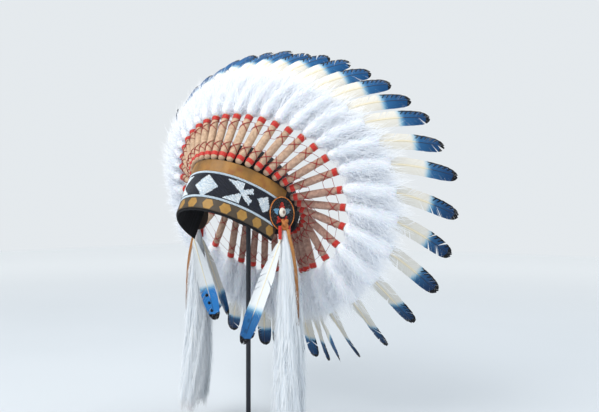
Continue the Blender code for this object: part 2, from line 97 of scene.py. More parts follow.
def rgb(red, green, blue):
    """A colour from its screen values, 0 to 255, as the linear light that a shader takes."""
    return (*(max((value / 255 + 0.055) / 1.055, 0) ** 2.4 for value in (red, green, blue)), 1)


def maths(operation, reflected=False):
    """An operator of a wire, which adds a Math node to its finish."""

    def operator(self, *others):
        values = (*others, self) if reflected else (self, *others)
        return self.finish.node("ShaderNodeMath", {"operation": operation}, values)

    return operator


class Wire:
    """A shader socket, with the arithmetic that the finishes need."""

    def __init__(self, finish, socket):
        self.finish = finish
        self.socket = socket

    __add__ = __radd__ = maths("ADD")
    __mul__ = __rmul__ = maths("MULTIPLY")
    __sub__ = maths("SUBTRACT")
    __rsub__ = maths("SUBTRACT", reflected=True)
    __lt__ = maths("LESS_THAN")
    __gt__ = maths("GREATER_THAN")
    __abs__ = maths("ABSOLUTE")
    larger = maths("MAXIMUM")
    smaller = maths("MINIMUM")
    fraction = maths("FRACT")
    sine = maths("SINE")


class Finish:
    """A material round one Principled shader. Keywords are its constant sockets, and colours
    are screen values, 0 to 255."""

    def __init__(self, name, **constants):
        self.material = bpy.data.materials.new(name)
        self.material.use_nodes = True
        self.tree = self.material.node_tree
        self.shader = self.tree.nodes["Principled BSDF"]
        for socket, value in constants.items():
            self.shader.inputs[socket.replace("_", " ")].default_value = value

    def node(self, kind, settings=None, values=(), output=0):
        made = self.tree.nodes.new(kind)
        for key, value in (settings or {}).items():
            setattr(made, key, value)
        pairs = values.items() if isinstance(values, dict) else enumerate(values)
        for socket, value in pairs:
            if isinstance(value, Wire):
                self.tree.links.new(value.socket, made.inputs[socket])
            else:
                made.inputs[socket].default_value = value
        return Wire(self, made.outputs[output])

    def place(self):
        return self.node("ShaderNodeTexCoord", output=3)

    def share(self, name):
        """A value that the mesh carries at each of its points."""
        return self.node("ShaderNodeAttribute", {"attribute_name": name}, output=2)

    def noise(self, scale, detail=3.0, where=None):
        values = {"Vector": where or self.place(), "Scale": scale, "Detail": detail}
        return self.node("ShaderNodeTexNoise", None, values)

    def ramp(self, value, low, high):
        """0 below low, 1 above high, smooth between them."""
        settings = {"interpolation_type": "SMOOTHSTEP"}
        return self.node("ShaderNodeMapRange", settings, {0: value, 1: low, 2: high})

    def blend(self, share, first, second):
        first, second = (
            colour if isinstance(colour, Wire) else rgb(*colour) for colour in (first, second)
        )
        values = {0: share, 6: first, 7: second}
        return self.node("ShaderNodeMix", {"data_type": "RGBA"}, values, 2)

    def put(self, socket, wire):
        self.tree.links.new(wire.socket, self.shader.inputs[socket])

    def paint(self, share, first, second):
        self.put("Base Color", self.blend(share, first, second))

    def bump(self, height, distance, strength=1.0):
        values = {"Height": height, "Distance": distance, "Strength": strength}
        self.put("Normal", self.node("ShaderNodeBump", None, values))

    def glow(self, share, colour):
        """Mixes in light that comes through a thin piece from behind."""
        through = self.node("ShaderNodeBsdfTranslucent", None, {"Color": rgb(*colour)})
        values = {0: share, 1: Wire(self, self.shader.outputs[0]), 2: through}
        mixed = self.node("ShaderNodeMixShader", None, values)
        self.tree.links.new(mixed.socket, self.tree.nodes["Material Output"].inputs["Surface"])


floor_finish = Finish("studio_floor", Roughness=0.8)
floor_place = [floor_finish.place()]
far_off = floor_finish.node("ShaderNodeVectorMath", {"operation": "LENGTH"}, floor_place, 1)
near_floor = floor_finish.blend(floor_finish.noise(9.0), (200, 206, 211), (208, 213, 218))
floor_finish.paint(floor_finish.ramp(far_off, 0.12, 0.75), near_floor, (250, 252, 253))
floor_mesh = bpy.data.meshes.new("floor")
floor_corners = [(x, y, 0) for x, y in ((-1, -1), (1, -1), (1, 1), (-1, 1))]
floor_mesh.from_pydata(floor_corners, [], [(0, 1, 2, 3)])
floor_mesh.materials.append(floor_finish.material)
floor = bpy.data.objects.new("floor", floor_mesh)
floor.scale = (FLOOR_HALF, FLOOR_HALF, 1)
scene.collection.objects.link(floor)

# Stand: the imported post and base, painted black over steel. The paint has a faint orange peel
# and some dust.
stand_paint = Finish("stand_paint", Metallic=0.1)
dust = stand_paint.noise(90.0, 5.0)
stand_paint.paint(dust, (14, 17, 24), (36, 41, 52))
stand_paint.put("Roughness", stand_paint.ramp(dust, 0.2, 0.9) * 0.25 + 0.30)
stand_paint.bump(stand_paint.noise(600.0, 2.0), 0.0002, 0.4)


def restyle(node, finish):
    """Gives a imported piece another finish."""
    for holder in nodes[node].material_slots:
        holder.material = finish.material


restyle("stand_post", stand_paint)
restyle("stand_base", stand_paint)

# Felt cap and band lining: packed walls of black felt and black cloth, matt with pressed fibres
# in the felt and a fine weave in the cloth.
felt = Finish("black_felt", Roughness=0.97)
matting = felt.noise(420.0, 6.0)
felt.paint(matting, (10, 11, 14), (40, 42, 50))
felt.bump(matting + felt.noise(90.0) * 0.6, 0.0008, 0.9)
restyle("felt_cap", felt)
lining = Finish("lining_cloth", Roughness=0.95)
threads = {"Vector": lining.place(), "Scale": 260.0}
weave = lining.node("ShaderNodeTexWave", {"wave_type": "BANDS"}, threads)
lining.paint(weave * lining.noise(300.0), (8, 9, 13), (28, 30, 38))
lining.bump(weave, 0.0003, 0.6)
restyle("band_lining", lining)

# Tan strip: ochre leather along the band's top, stained and creased. A row of thread stitches
# along its lower edge holds it to the band, whose wall stands square to the tilted rim.
RIM_HALF_WIDTH = 0.0833
RIM_HALF_LENGTH = 0.1136
RIM_TILT = math.radians(27.2)
RIM_FRONT = Vector((0, -math.cos(RIM_TILT), math.sin(RIM_TILT)))
RIM_UP = Vector((0, math.sin(RIM_TILT), math.cos(RIM_TILT)))
BAND_HALF_ANGLE = 86.5
STRIP_OUTER = 0.00165
STITCH_DOWN = 0.0188
STITCH_PITCH = 0.0042
STITCH_LENGTH = 0.0028
STITCH_RADIUS = 0.00032
STITCH_RINGS = 5
THREAD_SIDES = 6
rim_up = np.array(RIM_UP)
angle_table = np.linspace(-BAND_HALF_ANGLE, BAND_HALF_ANGLE, 1401)
turn_table = np.radians(angle_table)
speed = np.hypot(RIM_HALF_WIDTH * np.cos(turn_table), RIM_HALF_LENGTH * np.sin(turn_table))
stretches = (speed[1:] + speed[:-1]) / 2 * (turn_table[1] - turn_table[0])
along_table = np.concatenate([[0], np.cumsum(stretches)])
along_table -= along_table[-1] / 2
BAND_HALF_LONG = along_table[-1]


def wall(along, out, down):
    """Points of the band's wall and which way is out there, from metres along it toward the
    wearer's left, out from it and down from the rim."""
    angle = np.radians(np.interp(along, along_table, angle_table))[..., None]
    left = np.array((1.0, 0, 0)) * np.sin(angle)
    front = np.array(RIM_FRONT) * np.cos(angle)
    outward = left * RIM_HALF_LENGTH + front * RIM_HALF_WIDTH
    outward = outward / np.linalg.norm(outward, axis=-1, keepdims=True)
    place = np.array(RING_CENTRE) + left * RIM_HALF_WIDTH + front * RIM_HALF_LENGTH
    return place + outward * np.asarray(out)[..., None] - rim_up * np.asarray(down)[..., None], outward


def circle(sides):
    return np.arange(sides) / sides * 2 * np.pi


def spokes(first, second, turn):
    """Directions at each turn from the first toward the second, for arrays of both."""
    return first[..., None, :] * np.cos(turn)[:, None] + second[..., None, :] * np.sin(turn)[:, None]


def grid_quads(rows, columns, wrapped=False):
    """Four-cornered faces between rows of points. A wrapped row closes on itself."""
    row, column = np.meshgrid(
        np.arange(rows - 1), np.arange(columns if wrapped else columns - 1), indexing="ij"
    )
    after = (column + 1) % columns
    here, above = row * columns, (row + 1) * columns
    quads = np.stack([here + column, here + after, above + after, above + column], -1)
    return quads.reshape(-1, 4)


def tube_quads(rings, sides):
    """A closed tube: its wall and both of its ends, with an even number of sides."""
    end = [(step, step + 1, sides - 2 - step, sides - 1 - step) for step in range(sides // 2 - 1)]
    end = np.array(end)
    return np.concatenate([grid_quads(rings, sides, True), end[:, ::-1], end + (rings - 1) * sides])


def many(quads, count, points_each):
    """The faces of one small shape, for a row of such shapes."""
    return (quads[None] + (np.arange(count) * points_each)[:, None, None]).reshape(-1, 4)


class Heap:
    """Gathers the parts of one piece: points, faces, and values at the points."""

    def __init__(self, *first, **shares):
        self.points, self.quads, self.shares, self.count = [], [], {}, 0
        if first:
            self.add(*first, **shares)

    def add(self, points, quads, **shares):
        points = np.asarray(points, np.float32).reshape(-1, 3)
        self.points.append(points)
        self.quads.append(quads + self.count)
        for key, value in shares.items():
            value = np.asarray(value, np.float32)
            full = value.ravel() if value.size == len(points) else np.full(len(points), value)
            self.shares.setdefault(key, []).append(full)
        self.count += len(points)

    def piece(self, name, finish, slot, replaced=()):
        mesh = bpy.data.meshes.new(name)
        points, quads = np.concatenate(self.points), np.concatenate(self.quads)
        mesh.vertices.add(len(points))
        mesh.vertices.foreach_set("co", points.ravel())
        mesh.loops.add(quads.size)
        mesh.loops.foreach_set("vertex_index", quads.astype(np.int32).ravel())
        mesh.polygons.add(len(quads))
        mesh.polygons.foreach_set("loop_start", np.arange(0, quads.size, 4, dtype=np.int32))
        mesh.polygons.foreach_set("use_smooth", np.ones(len(quads), bool))
        for key, values in self.shares.items():
            layer = mesh.attributes.new(key, "FLOAT", "POINT")
            layer.data.foreach_set("value", np.concatenate(values))
        mesh.update(calc_edges=True)
        mesh.materials.append(finish.material)
        made = bpy.data.objects.new(name, mesh)
        scene.collection.objects.link(made)
        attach(made, "root")
        if replaced:
            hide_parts(*replaced)
        return made


tan_hide = Finish("tan_hide", Roughness=0.5)
stain = tan_hide.ramp(tan_hide.noise(28.0, 5.0), 0.35, 0.62)
rust = tan_hide.ramp(tan_hide.noise(46.0, 2.0), 0.56, 0.72)
ochre_hide = tan_hide.blend(stain, (116, 80, 28), (156, 108, 40))
tan_hide.paint(rust * 0.55, ochre_hide, (128, 60, 20))
grain = tan_hide.noise(700.0, 4.0)
tan_hide.put("Roughness", grain * 0.3 + 0.38)
tan_hide.bump(grain + tan_hide.noise(60.0) * 1.5, 0.0006, 0.6)
restyle("tan_leather_strip", tan_hide)
thread = Finish("waxed_thread", Roughness=0.6)
thread.paint(thread.noise(900.0), (120, 84, 34), (196, 160, 96))
starts = np.arange(-BAND_HALF_LONG + STITCH_PITCH, BAND_HALF_LONG - STITCH_PITCH, STITCH_PITCH)
bow = np.sin(np.pi * np.linspace(0, 1, STITCH_RINGS))
along = starts[:, None] + np.linspace(0, 1, STITCH_RINGS) * STITCH_LENGTH
centre, outward = wall(along, STRIP_OUTER + STITCH_RADIUS * (2.0 * bow - 0.6), STITCH_DOWN)
ring = spokes(outward, rim_up, circle(THREAD_SIDES)) * (0.5 + 0.5 * bow)[:, None, None]
stitch_quads = many(
    tube_quads(STITCH_RINGS, THREAD_SIDES), len(starts), STITCH_RINGS * THREAD_SIDES
)
stitches = Heap(centre[:, :, None, :] + ring * STITCH_RADIUS, stitch_quads)
stitches.piece("tan_strip_stitches", thread, "leather_tan")

# Spotted strip: olive-brown leather along the band's lower edge, a little domed. The ochre spots
# painted along it are wider than high, with flattened corners and uneven edges.
STRIP_INNER = 0.00015
SPOTTED_TOP = 0.0666
SPOTTED_BOTTOM = 0.0851
SPOTTED_EDGE = 0.0004
SPOTTED_ROUND = 0.0003
SPOTTED_DOME = 0.0002
SPOTTED_FACE = 0.0177
SPOT_PITCH_MM = 27.0
SPOT_SHIFT_MM = 1.0
SPOT_DOWN_MM = 76.2
SPOT_HALF_MM = 7.8
columns = np.linspace(-BAND_HALF_LONG, BAND_HALF_LONG, 241)


def carried(profile):
    """A cross-section of the band carried from temple to temple: points, faces, along, down."""
    profile = np.array(profile)
    along = np.repeat(columns[:, None], len(profile), 1)
    down = np.broadcast_to(profile[:, 1], along.shape)
    points = wall(along, profile[:, 0], profile[:, 1])[0]
    return points, tube_quads(len(columns), len(profile)), along, down


profile = [(STRIP_INNER, SPOTTED_TOP), (STRIP_OUTER - SPOTTED_ROUND, SPOTTED_TOP)]
profile.append((STRIP_OUTER, SPOTTED_TOP + SPOTTED_EDGE))
for share in np.arange(1, 8) / 8:
    dome = SPOTTED_DOME * math.sin(math.pi * share)
    profile.append((STRIP_OUTER + dome, SPOTTED_TOP + SPOTTED_FACE * share))
profile.append((STRIP_OUTER, SPOTTED_BOTTOM - SPOTTED_EDGE))
profile += [(STRIP_OUTER - SPOTTED_ROUND, SPOTTED_BOTTOM), (STRIP_INNER, SPOTTED_BOTTOM)]
profile.append((STRIP_INNER, (SPOTTED_TOP + SPOTTED_BOTTOM) / 2))
points, quads, along, down = carried(profile)
spots = Heap(points, quads, along=along * 1000, down=down * 1000)
spot_hide = Finish("spotted_hide")
cell = (spot_hide.share("along") - SPOT_SHIFT_MM) * (1 / SPOT_PITCH_MM) + 100.5
across_spot = abs(cell.fraction() - 0.5) * SPOT_PITCH_MM
down_spot = abs(spot_hide.share("down") - SPOT_DOWN_MM)
hexagon = (across_spot * 0.86 + down_spot * 0.5).larger(down_spot)
ragged = spot_hide.noise(260.0, 3.0) * 1.6 - 0.8
spot = 1.0 - spot_hide.ramp(hexagon + ragged, SPOT_HALF_MM - 0.5, SPOT_HALF_MM + 0.3)
olive = spot_hide.blend(spot_hide.noise(60.0, 4.0), (44, 36, 26), (78, 63, 44))
ochre = spot_hide.blend(spot_hide.noise(140.0), (138, 100, 38), (174, 132, 60))
spot_hide.paint(spot, olive, ochre)
spot_hide.put("Roughness", spot_hide.noise(500.0) * 0.3 + 0.42)
spot_hide.bump(spot_hide.noise(640.0, 4.0) + spot * 0.8, 0.0004, 0.6)
spots.piece("spotted_strip", spot_hide, "leather_spotted", ["spotted_leather_strip"])

# Beadwork: glass seed beads sewn in upright rows on a dark backing. A chart of plain shapes,
# in millimetres and mirrored about a line beside the brow, says which beads are white.
BEADWORK_TOP = 0.0208
BEADWORK_BOTTOM = 0.0663
BACKING_OUTER = 0.0010
BEAD_OUT = 0.00125
BEAD_ALONG = 0.00200
BEAD_DOWN = 0.00175
BEAD_RADIUS = 0.00100
BEAD_SIDES = 6
BEAD_RINGS = ((-1, 0.74), (0, 1.0), (1, 0.74))
MIRROR_ALONG = 13.8
EDGE_ROWS = 2
CHART = {
    "diamond": [(0, 27.0), (20.6, 46), (0, 65.0), (-20.6, 46)],
    "upper_arm": [(30, 27.6), (57, 26.2), (58, 45)],
    "lower_arm": [(31, 60.4), (57, 61.6), (59, 42)],
    "upper_bar": [(55, 39.5), (72, 29.0), (76.5, 37.0), (58, 45)],
    "lower_bar": [(58, 37), (76.5, 49.0), (72.5, 57.5), (55, 45)],
    "temple_arm": [(83.0, 40.5), (100.6, 29), (110.6, 45.5), (100.1, 57.0)],
}


def inside(corners, x, y):
    """Which of the points x, y lie in a shape without inward corners, listed either way."""
    sides = np.array(
        [
            (x1 - x0) * (y - y0) - (y1 - y0) * (x - x0)
            for (x0, y0), (x1, y1) in zip(corners, corners[1:] + corners[:1])
        ]
    )
    return np.all(sides >= 0, axis=0) | np.all(sides <= 0, axis=0)


def bead_points(centre, axis, side, outward, radius, half_length):
    """Beads of three rings, from arrays of centres and directions."""
    ring = spokes(side, outward, circle(BEAD_SIDES)) * radius
    rows = [
        centre[:, None] + axis[:, None] * share * half_length + ring * size
        for share, size in BEAD_RINGS
    ]
    return np.stack(rows, 1)


bead_quads = tube_quads(len(BEAD_RINGS), BEAD_SIDES)
points_each = len(BEAD_RINGS) * BEAD_SIDES
maker = np.random.default_rng(7)
bead_along = np.arange(-BAND_HALF_LONG + 0.0012, BAND_HALF_LONG - 0.0010, BEAD_ALONG)
rows_down = int((BEADWORK_BOTTOM - BEADWORK_TOP) / BEAD_DOWN)
bead_down = BEADWORK_TOP + BEAD_DOWN * (np.arange(rows_down) + 0.5)
along, down = (values.ravel() for values in np.meshgrid(bead_along, bead_down, indexing="ij"))
row_number = np.tile(np.arange(rows_down), len(bead_along))
edge_row = (row_number < EDGE_ROWS) | (row_number >= rows_down - EDGE_ROWS)
white = edge_row.copy()
for corners in CHART.values():
    white |= inside(corners, np.abs(along * 1000 - MIRROR_ALONG), down * 1000)
along = along + maker.normal(0, 0.00004, along.shape)
centre, outward = wall(along, BEAD_OUT, down)
axis = rim_up + maker.normal(0, 0.03, centre.shape)
beads = Heap(
    bead_points(centre, axis, np.cross(axis, outward), outward, BEAD_RADIUS, BEAD_DOWN * 0.49),
    many(bead_quads, len(along), points_each),
    white=np.repeat(white.astype(float), points_each),
    tone=np.repeat(maker.random(len(along)) * np.where(edge_row, 0.25, 1), points_each),
)
glass = Finish("seed_beads", Coat_Weight=0.2, Coat_Roughness=0.2)
tone = glass.share("tone")
dark = glass.blend(tone, (8, 12, 24), (17, 26, 48))
pale = glass.blend(tone, (196, 214, 228), (244, 247, 248))
glass.paint(glass.share("white"), dark, pale)
glass.put("Roughness", tone * 0.15 + 0.30)
beads.piece("brow_beads", glass, "beads_navy")
profile = [(out, BEADWORK_TOP) for out in (STRIP_INNER, BACKING_OUTER)]
profile += [(out, BEADWORK_BOTTOM) for out in (BACKING_OUTER, STRIP_INNER)]
backing = Heap(*carried(profile)[:2])
canvas = Finish("bead_backing", Roughness=0.9)
canvas.paint(canvas.noise(800.0), (10, 13, 22), (32, 40, 56))
canvas.bump(canvas.noise(900.0), 0.0002)
backing.piece("beadwork_backing", canvas, "beads_navy", ["beaded_brow_band"])

# Feathers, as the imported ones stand. A row of stations gives an angle round the rim, then the way
# that the barrel points there and the way that the feather does, each in hundredths toward the
# wearer's left, back and up.
FRONT_COUNT = 26
FRONT_FIRST_ANGLE = 136.6
FRONT_PITCH = 8.628
BACK_COUNT = 12
BARREL_LENGTH = 0.087
BARREL_RADIUS = 0.0064
BUTT_RADII = ((0.0, 0.62), (0.035, 0.86))
SEAT_GAP = 0.0003
CAP_OUTER = -0.00195
NAPE_SEAT_DROP = 0.0035
FEATHER_LENGTH = 0.200
FEATHER_STIFFNESS = 0.38
VANE_TWIST = math.radians(10)
SHAFT_STATIONS = np.concatenate([np.linspace(0, 1, 6), np.linspace(1.02, 2.0, 34)])
STATIONS = [
    (-180, -5, 25, -97, -17, 46, -87),
    (-160, -18, 22, -96, -31, 45, -84),
    (-138, -27, 16, -95, -46, 44, -77),
    (-120, -38, 19, -91, -70, 46, -55),
    (-105, -76, 28, -59, -80, 52, -15),
    (-90, -92, 34, -18, -78, 56, 28),
    (-75, -91, 38, 15, -70, 49, 52),
    (-60, -82, 42, 39, -56, 49, 67),
    (-30, -54, 46, 71, -24, 60, 76),
    (0, -19, 47, 86, 7, 68, 73),
    (30, 18, 47, 87, 36, 72, 60),
    (60, 57, 44, 69, 59, 73, 34),
    (75, 76, 41, 51, 66, 73, 14),
    (90, 90, 37, 22, 67, 73, -14),
    (105, 93, 30, -19, 56, 70, -44),
    (120, 72, 20, -67, 36, 63, -69),
    (138, 18, 13, -98, 11, 53, -84),
    (160, 5, 21, -98, -3, 50, -87),
]


def rim_point(around):
    angle = math.radians(around)
    width = Vector((RIM_HALF_WIDTH * math.sin(angle), 0, 0))
    return RING_CENTRE + width + RIM_FRONT * RIM_HALF_LENGTH * math.cos(angle)


def rim_outward(around):
    angle = math.radians(around)
    width = Vector((RIM_HALF_LENGTH * math.sin(angle), 0, 0))
    return (width + RIM_FRONT * RIM_HALF_WIDTH * math.cos(angle)).normalized()


def station_directions(around):
    """The barrel's and the feather's direction, smooth from station to station."""
    around = (around + 180) % 360 - 180
    here = max(row for row in range(len(STATIONS)) if STATIONS[row][0] <= around)
    near = []
    for index in range(here - 1, here + 3):
        turns, row = divmod(index, len(STATIONS))
        angle, *directions = STATIONS[row]
        near.append((angle + 360 * turns, Vector([number / 100 for number in directions])))
    (a0, v0), (a1, v1), (a2, v2), (a3, v3) = near
    share = (around - a1) / (a2 - a1)
    slope1 = (v2 - v0) / (a2 - a0) * (a2 - a1)
    slope2 = (v3 - v1) / (a3 - a1) * (a2 - a1)
    mixed = (
        v1 * (2 * share**3 - 3 * share**2 + 1)
        + slope1 * (share**3 - 2 * share**2 + share)
        + v2 * (3 * share**2 - 2 * share**3)
        + slope2 * (share**3 - share**2)
    )
    return Vector(mixed[0:3]).normalized(), Vector(mixed[3:6]).normalized()


def feather_path(seat, barrel, feather, along):
    """A place on a feather and its direction: along runs 0 to 1 in the barrel, then to 2."""
    if along <= 1:
        return seat + barrel * BARREL_LENGTH * along, barrel
    share = along - 1
    start = seat + barrel * BARREL_LENGTH
    middle = start + barrel * FEATHER_LENGTH * FEATHER_STIFFNESS
    end = start + feather * FEATHER_LENGTH
    point = start * (1 - share) ** 2 + middle * 2 * share * (1 - share) + end * share**2
    direction = (middle - start) * (1 - share) + (end - middle) * share
    return point, direction.normalized()


def across_fan(around, along, shaft):
    """The way from a feather toward the next one round the rim, turned by the vane's twist."""
    points = []
    for angle in (around - 1.0, around + 1.0):
        barrel, feather = station_directions(angle)
        points.append(feather_path(rim_point(angle), barrel, feather, along)[0])
    across = points[1] - points[0]
    across = (across - shaft * across.dot(shaft)).normalized()
    return across * math.cos(VANE_TWIST) + across.cross(shaft) * math.sin(VANE_TWIST)


def barrel_seat(around, barrel):
    """Where a butt starts: on the rim, or against the cap behind the band's ends."""
    outward = rim_outward(around)
    butt = []
    for along, radius in BUTT_RADII:
        across = across_fan(around, along, barrel)
        thick = across.cross(barrel).normalized()
        for step in range(6):
            turn = math.pi * step / 3
            edge = across * math.cos(turn) + thick * math.sin(turn)
            butt.append(barrel * BARREL_LENGTH * along + edge * BARREL_RADIUS * radius)
    if abs(around) > BAND_HALF_ANGLE + math.degrees(BARREL_RADIUS / RIM_HALF_LENGTH):
        out = CAP_OUTER + SEAT_GAP - min(point.dot(outward) for point in butt)
        return rim_point(around) + outward * out - RIM_UP * NAPE_SEAT_DROP
    lean = barrel.dot(outward)
    if lean < 0:
        lowest = min(point.dot(RIM_UP) for point in butt)
        return rim_point(around) + barrel * (SEAT_GAP - lowest) / barrel.dot(RIM_UP)
    side_on = abs(barrel.dot(outward.cross(RIM_UP)))
    lift = STRIP_OUTER * lean + BARREL_RADIUS * BUTT_RADII[0][1] * side_on + SEAT_GAP
    return rim_point(around) + barrel * lift


class Shaft:
    """Points, shaft, across and facing directions of one feather, by how far along it is."""

    def __init__(self, around):
        barrel, feather = station_directions(around)
        seat = barrel_seat(around, barrel)
        rows = []
        for along in SHAFT_STATIONS:
            point, shaft = feather_path(seat, barrel, feather, along)
            across = across_fan(around, along, shaft)
            rows.append((*point, *shaft, *across, *across.cross(shaft).normalized()))
        self.rows = np.array(rows)

    def at(self, along):
        columns = [np.interp(along, SHAFT_STATIONS, self.rows[:, number]) for number in range(12)]
        stacked = np.stack(columns, -1)
        return stacked[..., 0:3], stacked[..., 3:6], stacked[..., 6:9], stacked[..., 9:12]


last_angle = FRONT_FIRST_ANGLE - FRONT_PITCH * (FRONT_COUNT - 1)
back_pitch = (360 - FRONT_FIRST_ANGLE + last_angle) / (BACK_COUNT + 1)
angles = [FRONT_FIRST_ANGLE - FRONT_PITCH * number for number in range(FRONT_COUNT)]
angles += [last_angle - back_pitch * (number + 1) for number in range(BACK_COUNT)]
angles = [(angle + 180) % 360 - 180 for angle in angles]
shafts = [Shaft(angle) for angle in angles]

# Barrels: soft leather rolled round each quill, with a seam, creases along it and a rounded
# butt. Each is pinched where it is bound.
BARREL_SIDES = 16
BARREL_SHAPE = np.array(
    [(0, 0.30), (0.012, 0.62), (0.035, 0.84), (0.07, 0.88), (0.085, 0.80), (0.15, 0.80)]
    + [(0.17, 0.90), (0.3, 0.97), (0.5, 1.02), (0.7, 0.98), (0.87, 0.92), (0.9, 0.84)]
    + [(0.98, 0.84), (1.0, 0.86), (1.03, 0.5)]
)
BARREL_PLACES = np.interp(np.arange(26), [0, 5, 8, 18, 25], [0, 0.08, 0.18, 0.86, 1.03])
BARREL_PLACES[1:4] = (0.012, 0.035, 0.06)
CREASES = ((0.020, 3, 2), (0.012, 5, -5), (0.010, 0, 23))
SEAM_HEIGHT, SEAM_TURN, SEAM_WANDER, SEAM_HALF = 0.07, 4.3, 0.3, 0.25
WORN_SHARE = 0.07
# Painted shade by angle round the rim: barrels toward the sides and back are blended into a darker,
# pinker copy of the leather.
BARREL_SHADE_BY_ANGLE = np.array([(-130, 0.9), (-100, 0), (35, 0), (98, 0.9)])


def look_up(table, place, column=1):
    """A value between the rows of a table, by what stands in its first column."""
    return np.interp(place, table[:, 0], table[:, column])


suede = Finish("barrel_leather", Roughness=0.85)
# Painted shade: the leather is painted darker in its creases, from the same noise that sinks them in the
# bump.
crease_relief_and_shade = suede.ramp(suede.noise(210.0, 5.0), 0.22, 0.78)
lit_suede = suede.blend(crease_relief_and_shade, (172, 142, 118), (212, 182, 152))
# Lit and shaded copies of the leather; the darker, pinker one is painted shade.
shaded_suede = suede.blend(crease_relief_and_shade, (140, 106, 96), (186, 148, 132))
hide = suede.blend(suede.share("barrel_shade"), lit_suede, shaded_suede)
suede.paint(suede.share("worn") * 0.55, hide, (150, 122, 100))
suede.bump(crease_relief_and_shade + suede.noise(900.0) * 0.3, 0.0008, 0.8)
turn = circle(BARREL_SIDES)
for number, shaft in enumerate(shafts, start=1):
    maker = np.random.default_rng(100 + number)
    centre, _, across, facing = shaft.at(BARREL_PLACES)
    phases = maker.random(3) * 6.28
    off_seam = turn - SEAM_TURN - SEAM_WANDER * np.sin(phases[0])
    swell = 1 + SEAM_HEIGHT * np.exp(-((off_seam / SEAM_HALF) ** 2))
    for (depth, waves_round, waves_along), phase in zip(CREASES, phases):
        swell = swell + depth * np.sin(waves_round * turn + phase + BARREL_PLACES[:, None] * waves_along)
    radius = BARREL_RADIUS * look_up(BARREL_SHAPE, BARREL_PLACES)[:, None] * swell
    barrel = Heap(
        centre[:, None] + spokes(across, facing, turn) * radius[..., None],
        tube_quads(len(BARREL_PLACES), BARREL_SIDES),
        barrel_shade=look_up(BARREL_SHADE_BY_ANGLE, angles[number - 1]) + maker.random() * 0.1,
        worn=np.repeat(np.clip(1 - BARREL_PLACES / WORN_SHARE, 0, 1), BARREL_SIDES),
    )
    barrel.piece(f"barrel_{number:02d}", suede, "leather_tan", [f"feather_{number:02d}"])

# Bindings: red thread wound round each barrel near its butt and at its outer end, each a coil
# of close turns.
COILS = ((0.078, 0.158), (0.895, 0.985))
COIL_TURNS = 5
COIL_STEPS = 14
COIL_RADIUS = 0.0008
COIL_FLATNESS = 0.8
COIL_SUNK = 0.4
COIL_CLEAR = 1.03
red_thread = Finish("red_thread", Roughness=0.38, Sheen_Weight=0.3, Sheen_Roughness=0.4)
strands = red_thread.noise(1200.0, 2.0)
red_thread.paint(strands, (168, 20, 16), (222, 50, 32))
red_thread.bump(strands, 0.0003, 0.5)


def coil(heap, shaft, first, last, turns, core_radius, thread_radius):
    """A closed tube that winds round a shaft between two places along it."""
    steps = turns * COIL_STEPS + 1
    centre, direction, across, facing = shaft.at(np.linspace(first, last, steps))
    angle = np.linspace(0, turns * 2 * np.pi, steps)[:, None]
    spoke = across * np.cos(angle) + facing * np.sin(angle)
    path = centre + spoke * (np.asarray(core_radius)[..., None] + thread_radius * (1 - COIL_SUNK))
    ring = spokes(spoke * COIL_FLATNESS, direction, circle(THREAD_SIDES)) * thread_radius
    heap.add(path[:, None] + ring, tube_quads(steps, THREAD_SIDES))


for number, shaft in enumerate(shafts, start=1):
    bindings = Heap()
    for first, last in COILS:
        along = np.linspace(first, last, COIL_TURNS * COIL_STEPS + 1)
        core = BARREL_RADIUS * look_up(BARREL_SHAPE, along) * COIL_CLEAR
        coil(bindings, shaft, first, last, COIL_TURNS, core, COIL_RADIUS)
    bindings.piece(f"binding_{number:02d}", red_thread, "rosette_beads")

# Lacing: at two heights a pair of dark red threads zigzags from barrel to barrel and crosses
# on the face of each. They are thinnest between two barrels.
LACE_RADIUS = 0.00068
LACE_THIN = 0.00036
LACE_PLACES = (0.30, 0.76)
LACE_REACH = 0.0082
LACE_CLEAR = 1.05
LACE_TURNS = np.radians([-82, -58, -30, 0, 30, 58, 82])


def rows_unit(vectors):
    return vectors / (np.linalg.norm(vectors, axis=-1, keepdims=True) + 1e-9)


def beside(direction, outward):
    """Two directions square to a path: one aside from it and one out from what it lies on."""
    direction = rows_unit(direction)
    aside = rows_unit(np.cross(direction, outward))
    return aside, np.cross(aside, direction)


def closed_loop(path, outward, sides, wide, thick):
    """The points and faces of a tube round a path whose end meets its start."""
    aside, lifted = beside(np.roll(path, -1, 0) - np.roll(path, 1, 0), outward)
    ring = spokes(aside * wide, lifted * thick, circle(sides))
    quads = grid_quads(len(path) + 1, sides, True) % (len(path) * sides)
    return path[:, None] + ring, quads


lace_red = Finish("lacing_thread", Roughness=0.5)
lace_red.paint(lace_red.noise(700.0), (120, 16, 20), (176, 34, 30))
tight = np.tile(np.cos(LACE_TURNS), len(shafts))[:, None]
thickness = LACE_THIN + (LACE_RADIUS - LACE_THIN) * tight
for height, middle in enumerate(LACE_PLACES, start=1):
    for letter, weave_side in (("a", 1), ("b", -1)):
        path, outward = [], []
        for step, shaft in enumerate(shafts[::-1]):
            lean = weave_side * (-1) ** step
            along = middle + lean * LACE_REACH / BARREL_LENGTH * LACE_TURNS / LACE_TURNS[-1]
            centre, _, across, facing = shaft.at(along)
            core = BARREL_RADIUS * look_up(BARREL_SHAPE, along)
            spoke = across * np.sin(LACE_TURNS)[:, None] + facing * np.cos(LACE_TURNS)[:, None]
            path.append(centre + spoke * (core * LACE_CLEAR + LACE_RADIUS)[:, None])
            outward.append(spoke)
        path, outward = np.concatenate(path), np.concatenate(outward)
        lace = Heap(*closed_loop(path, outward, THREAD_SIDES, thickness, thickness))
        lace.piece(f"lacing_{height}_{letter}", lace_red, "rosette_beads")

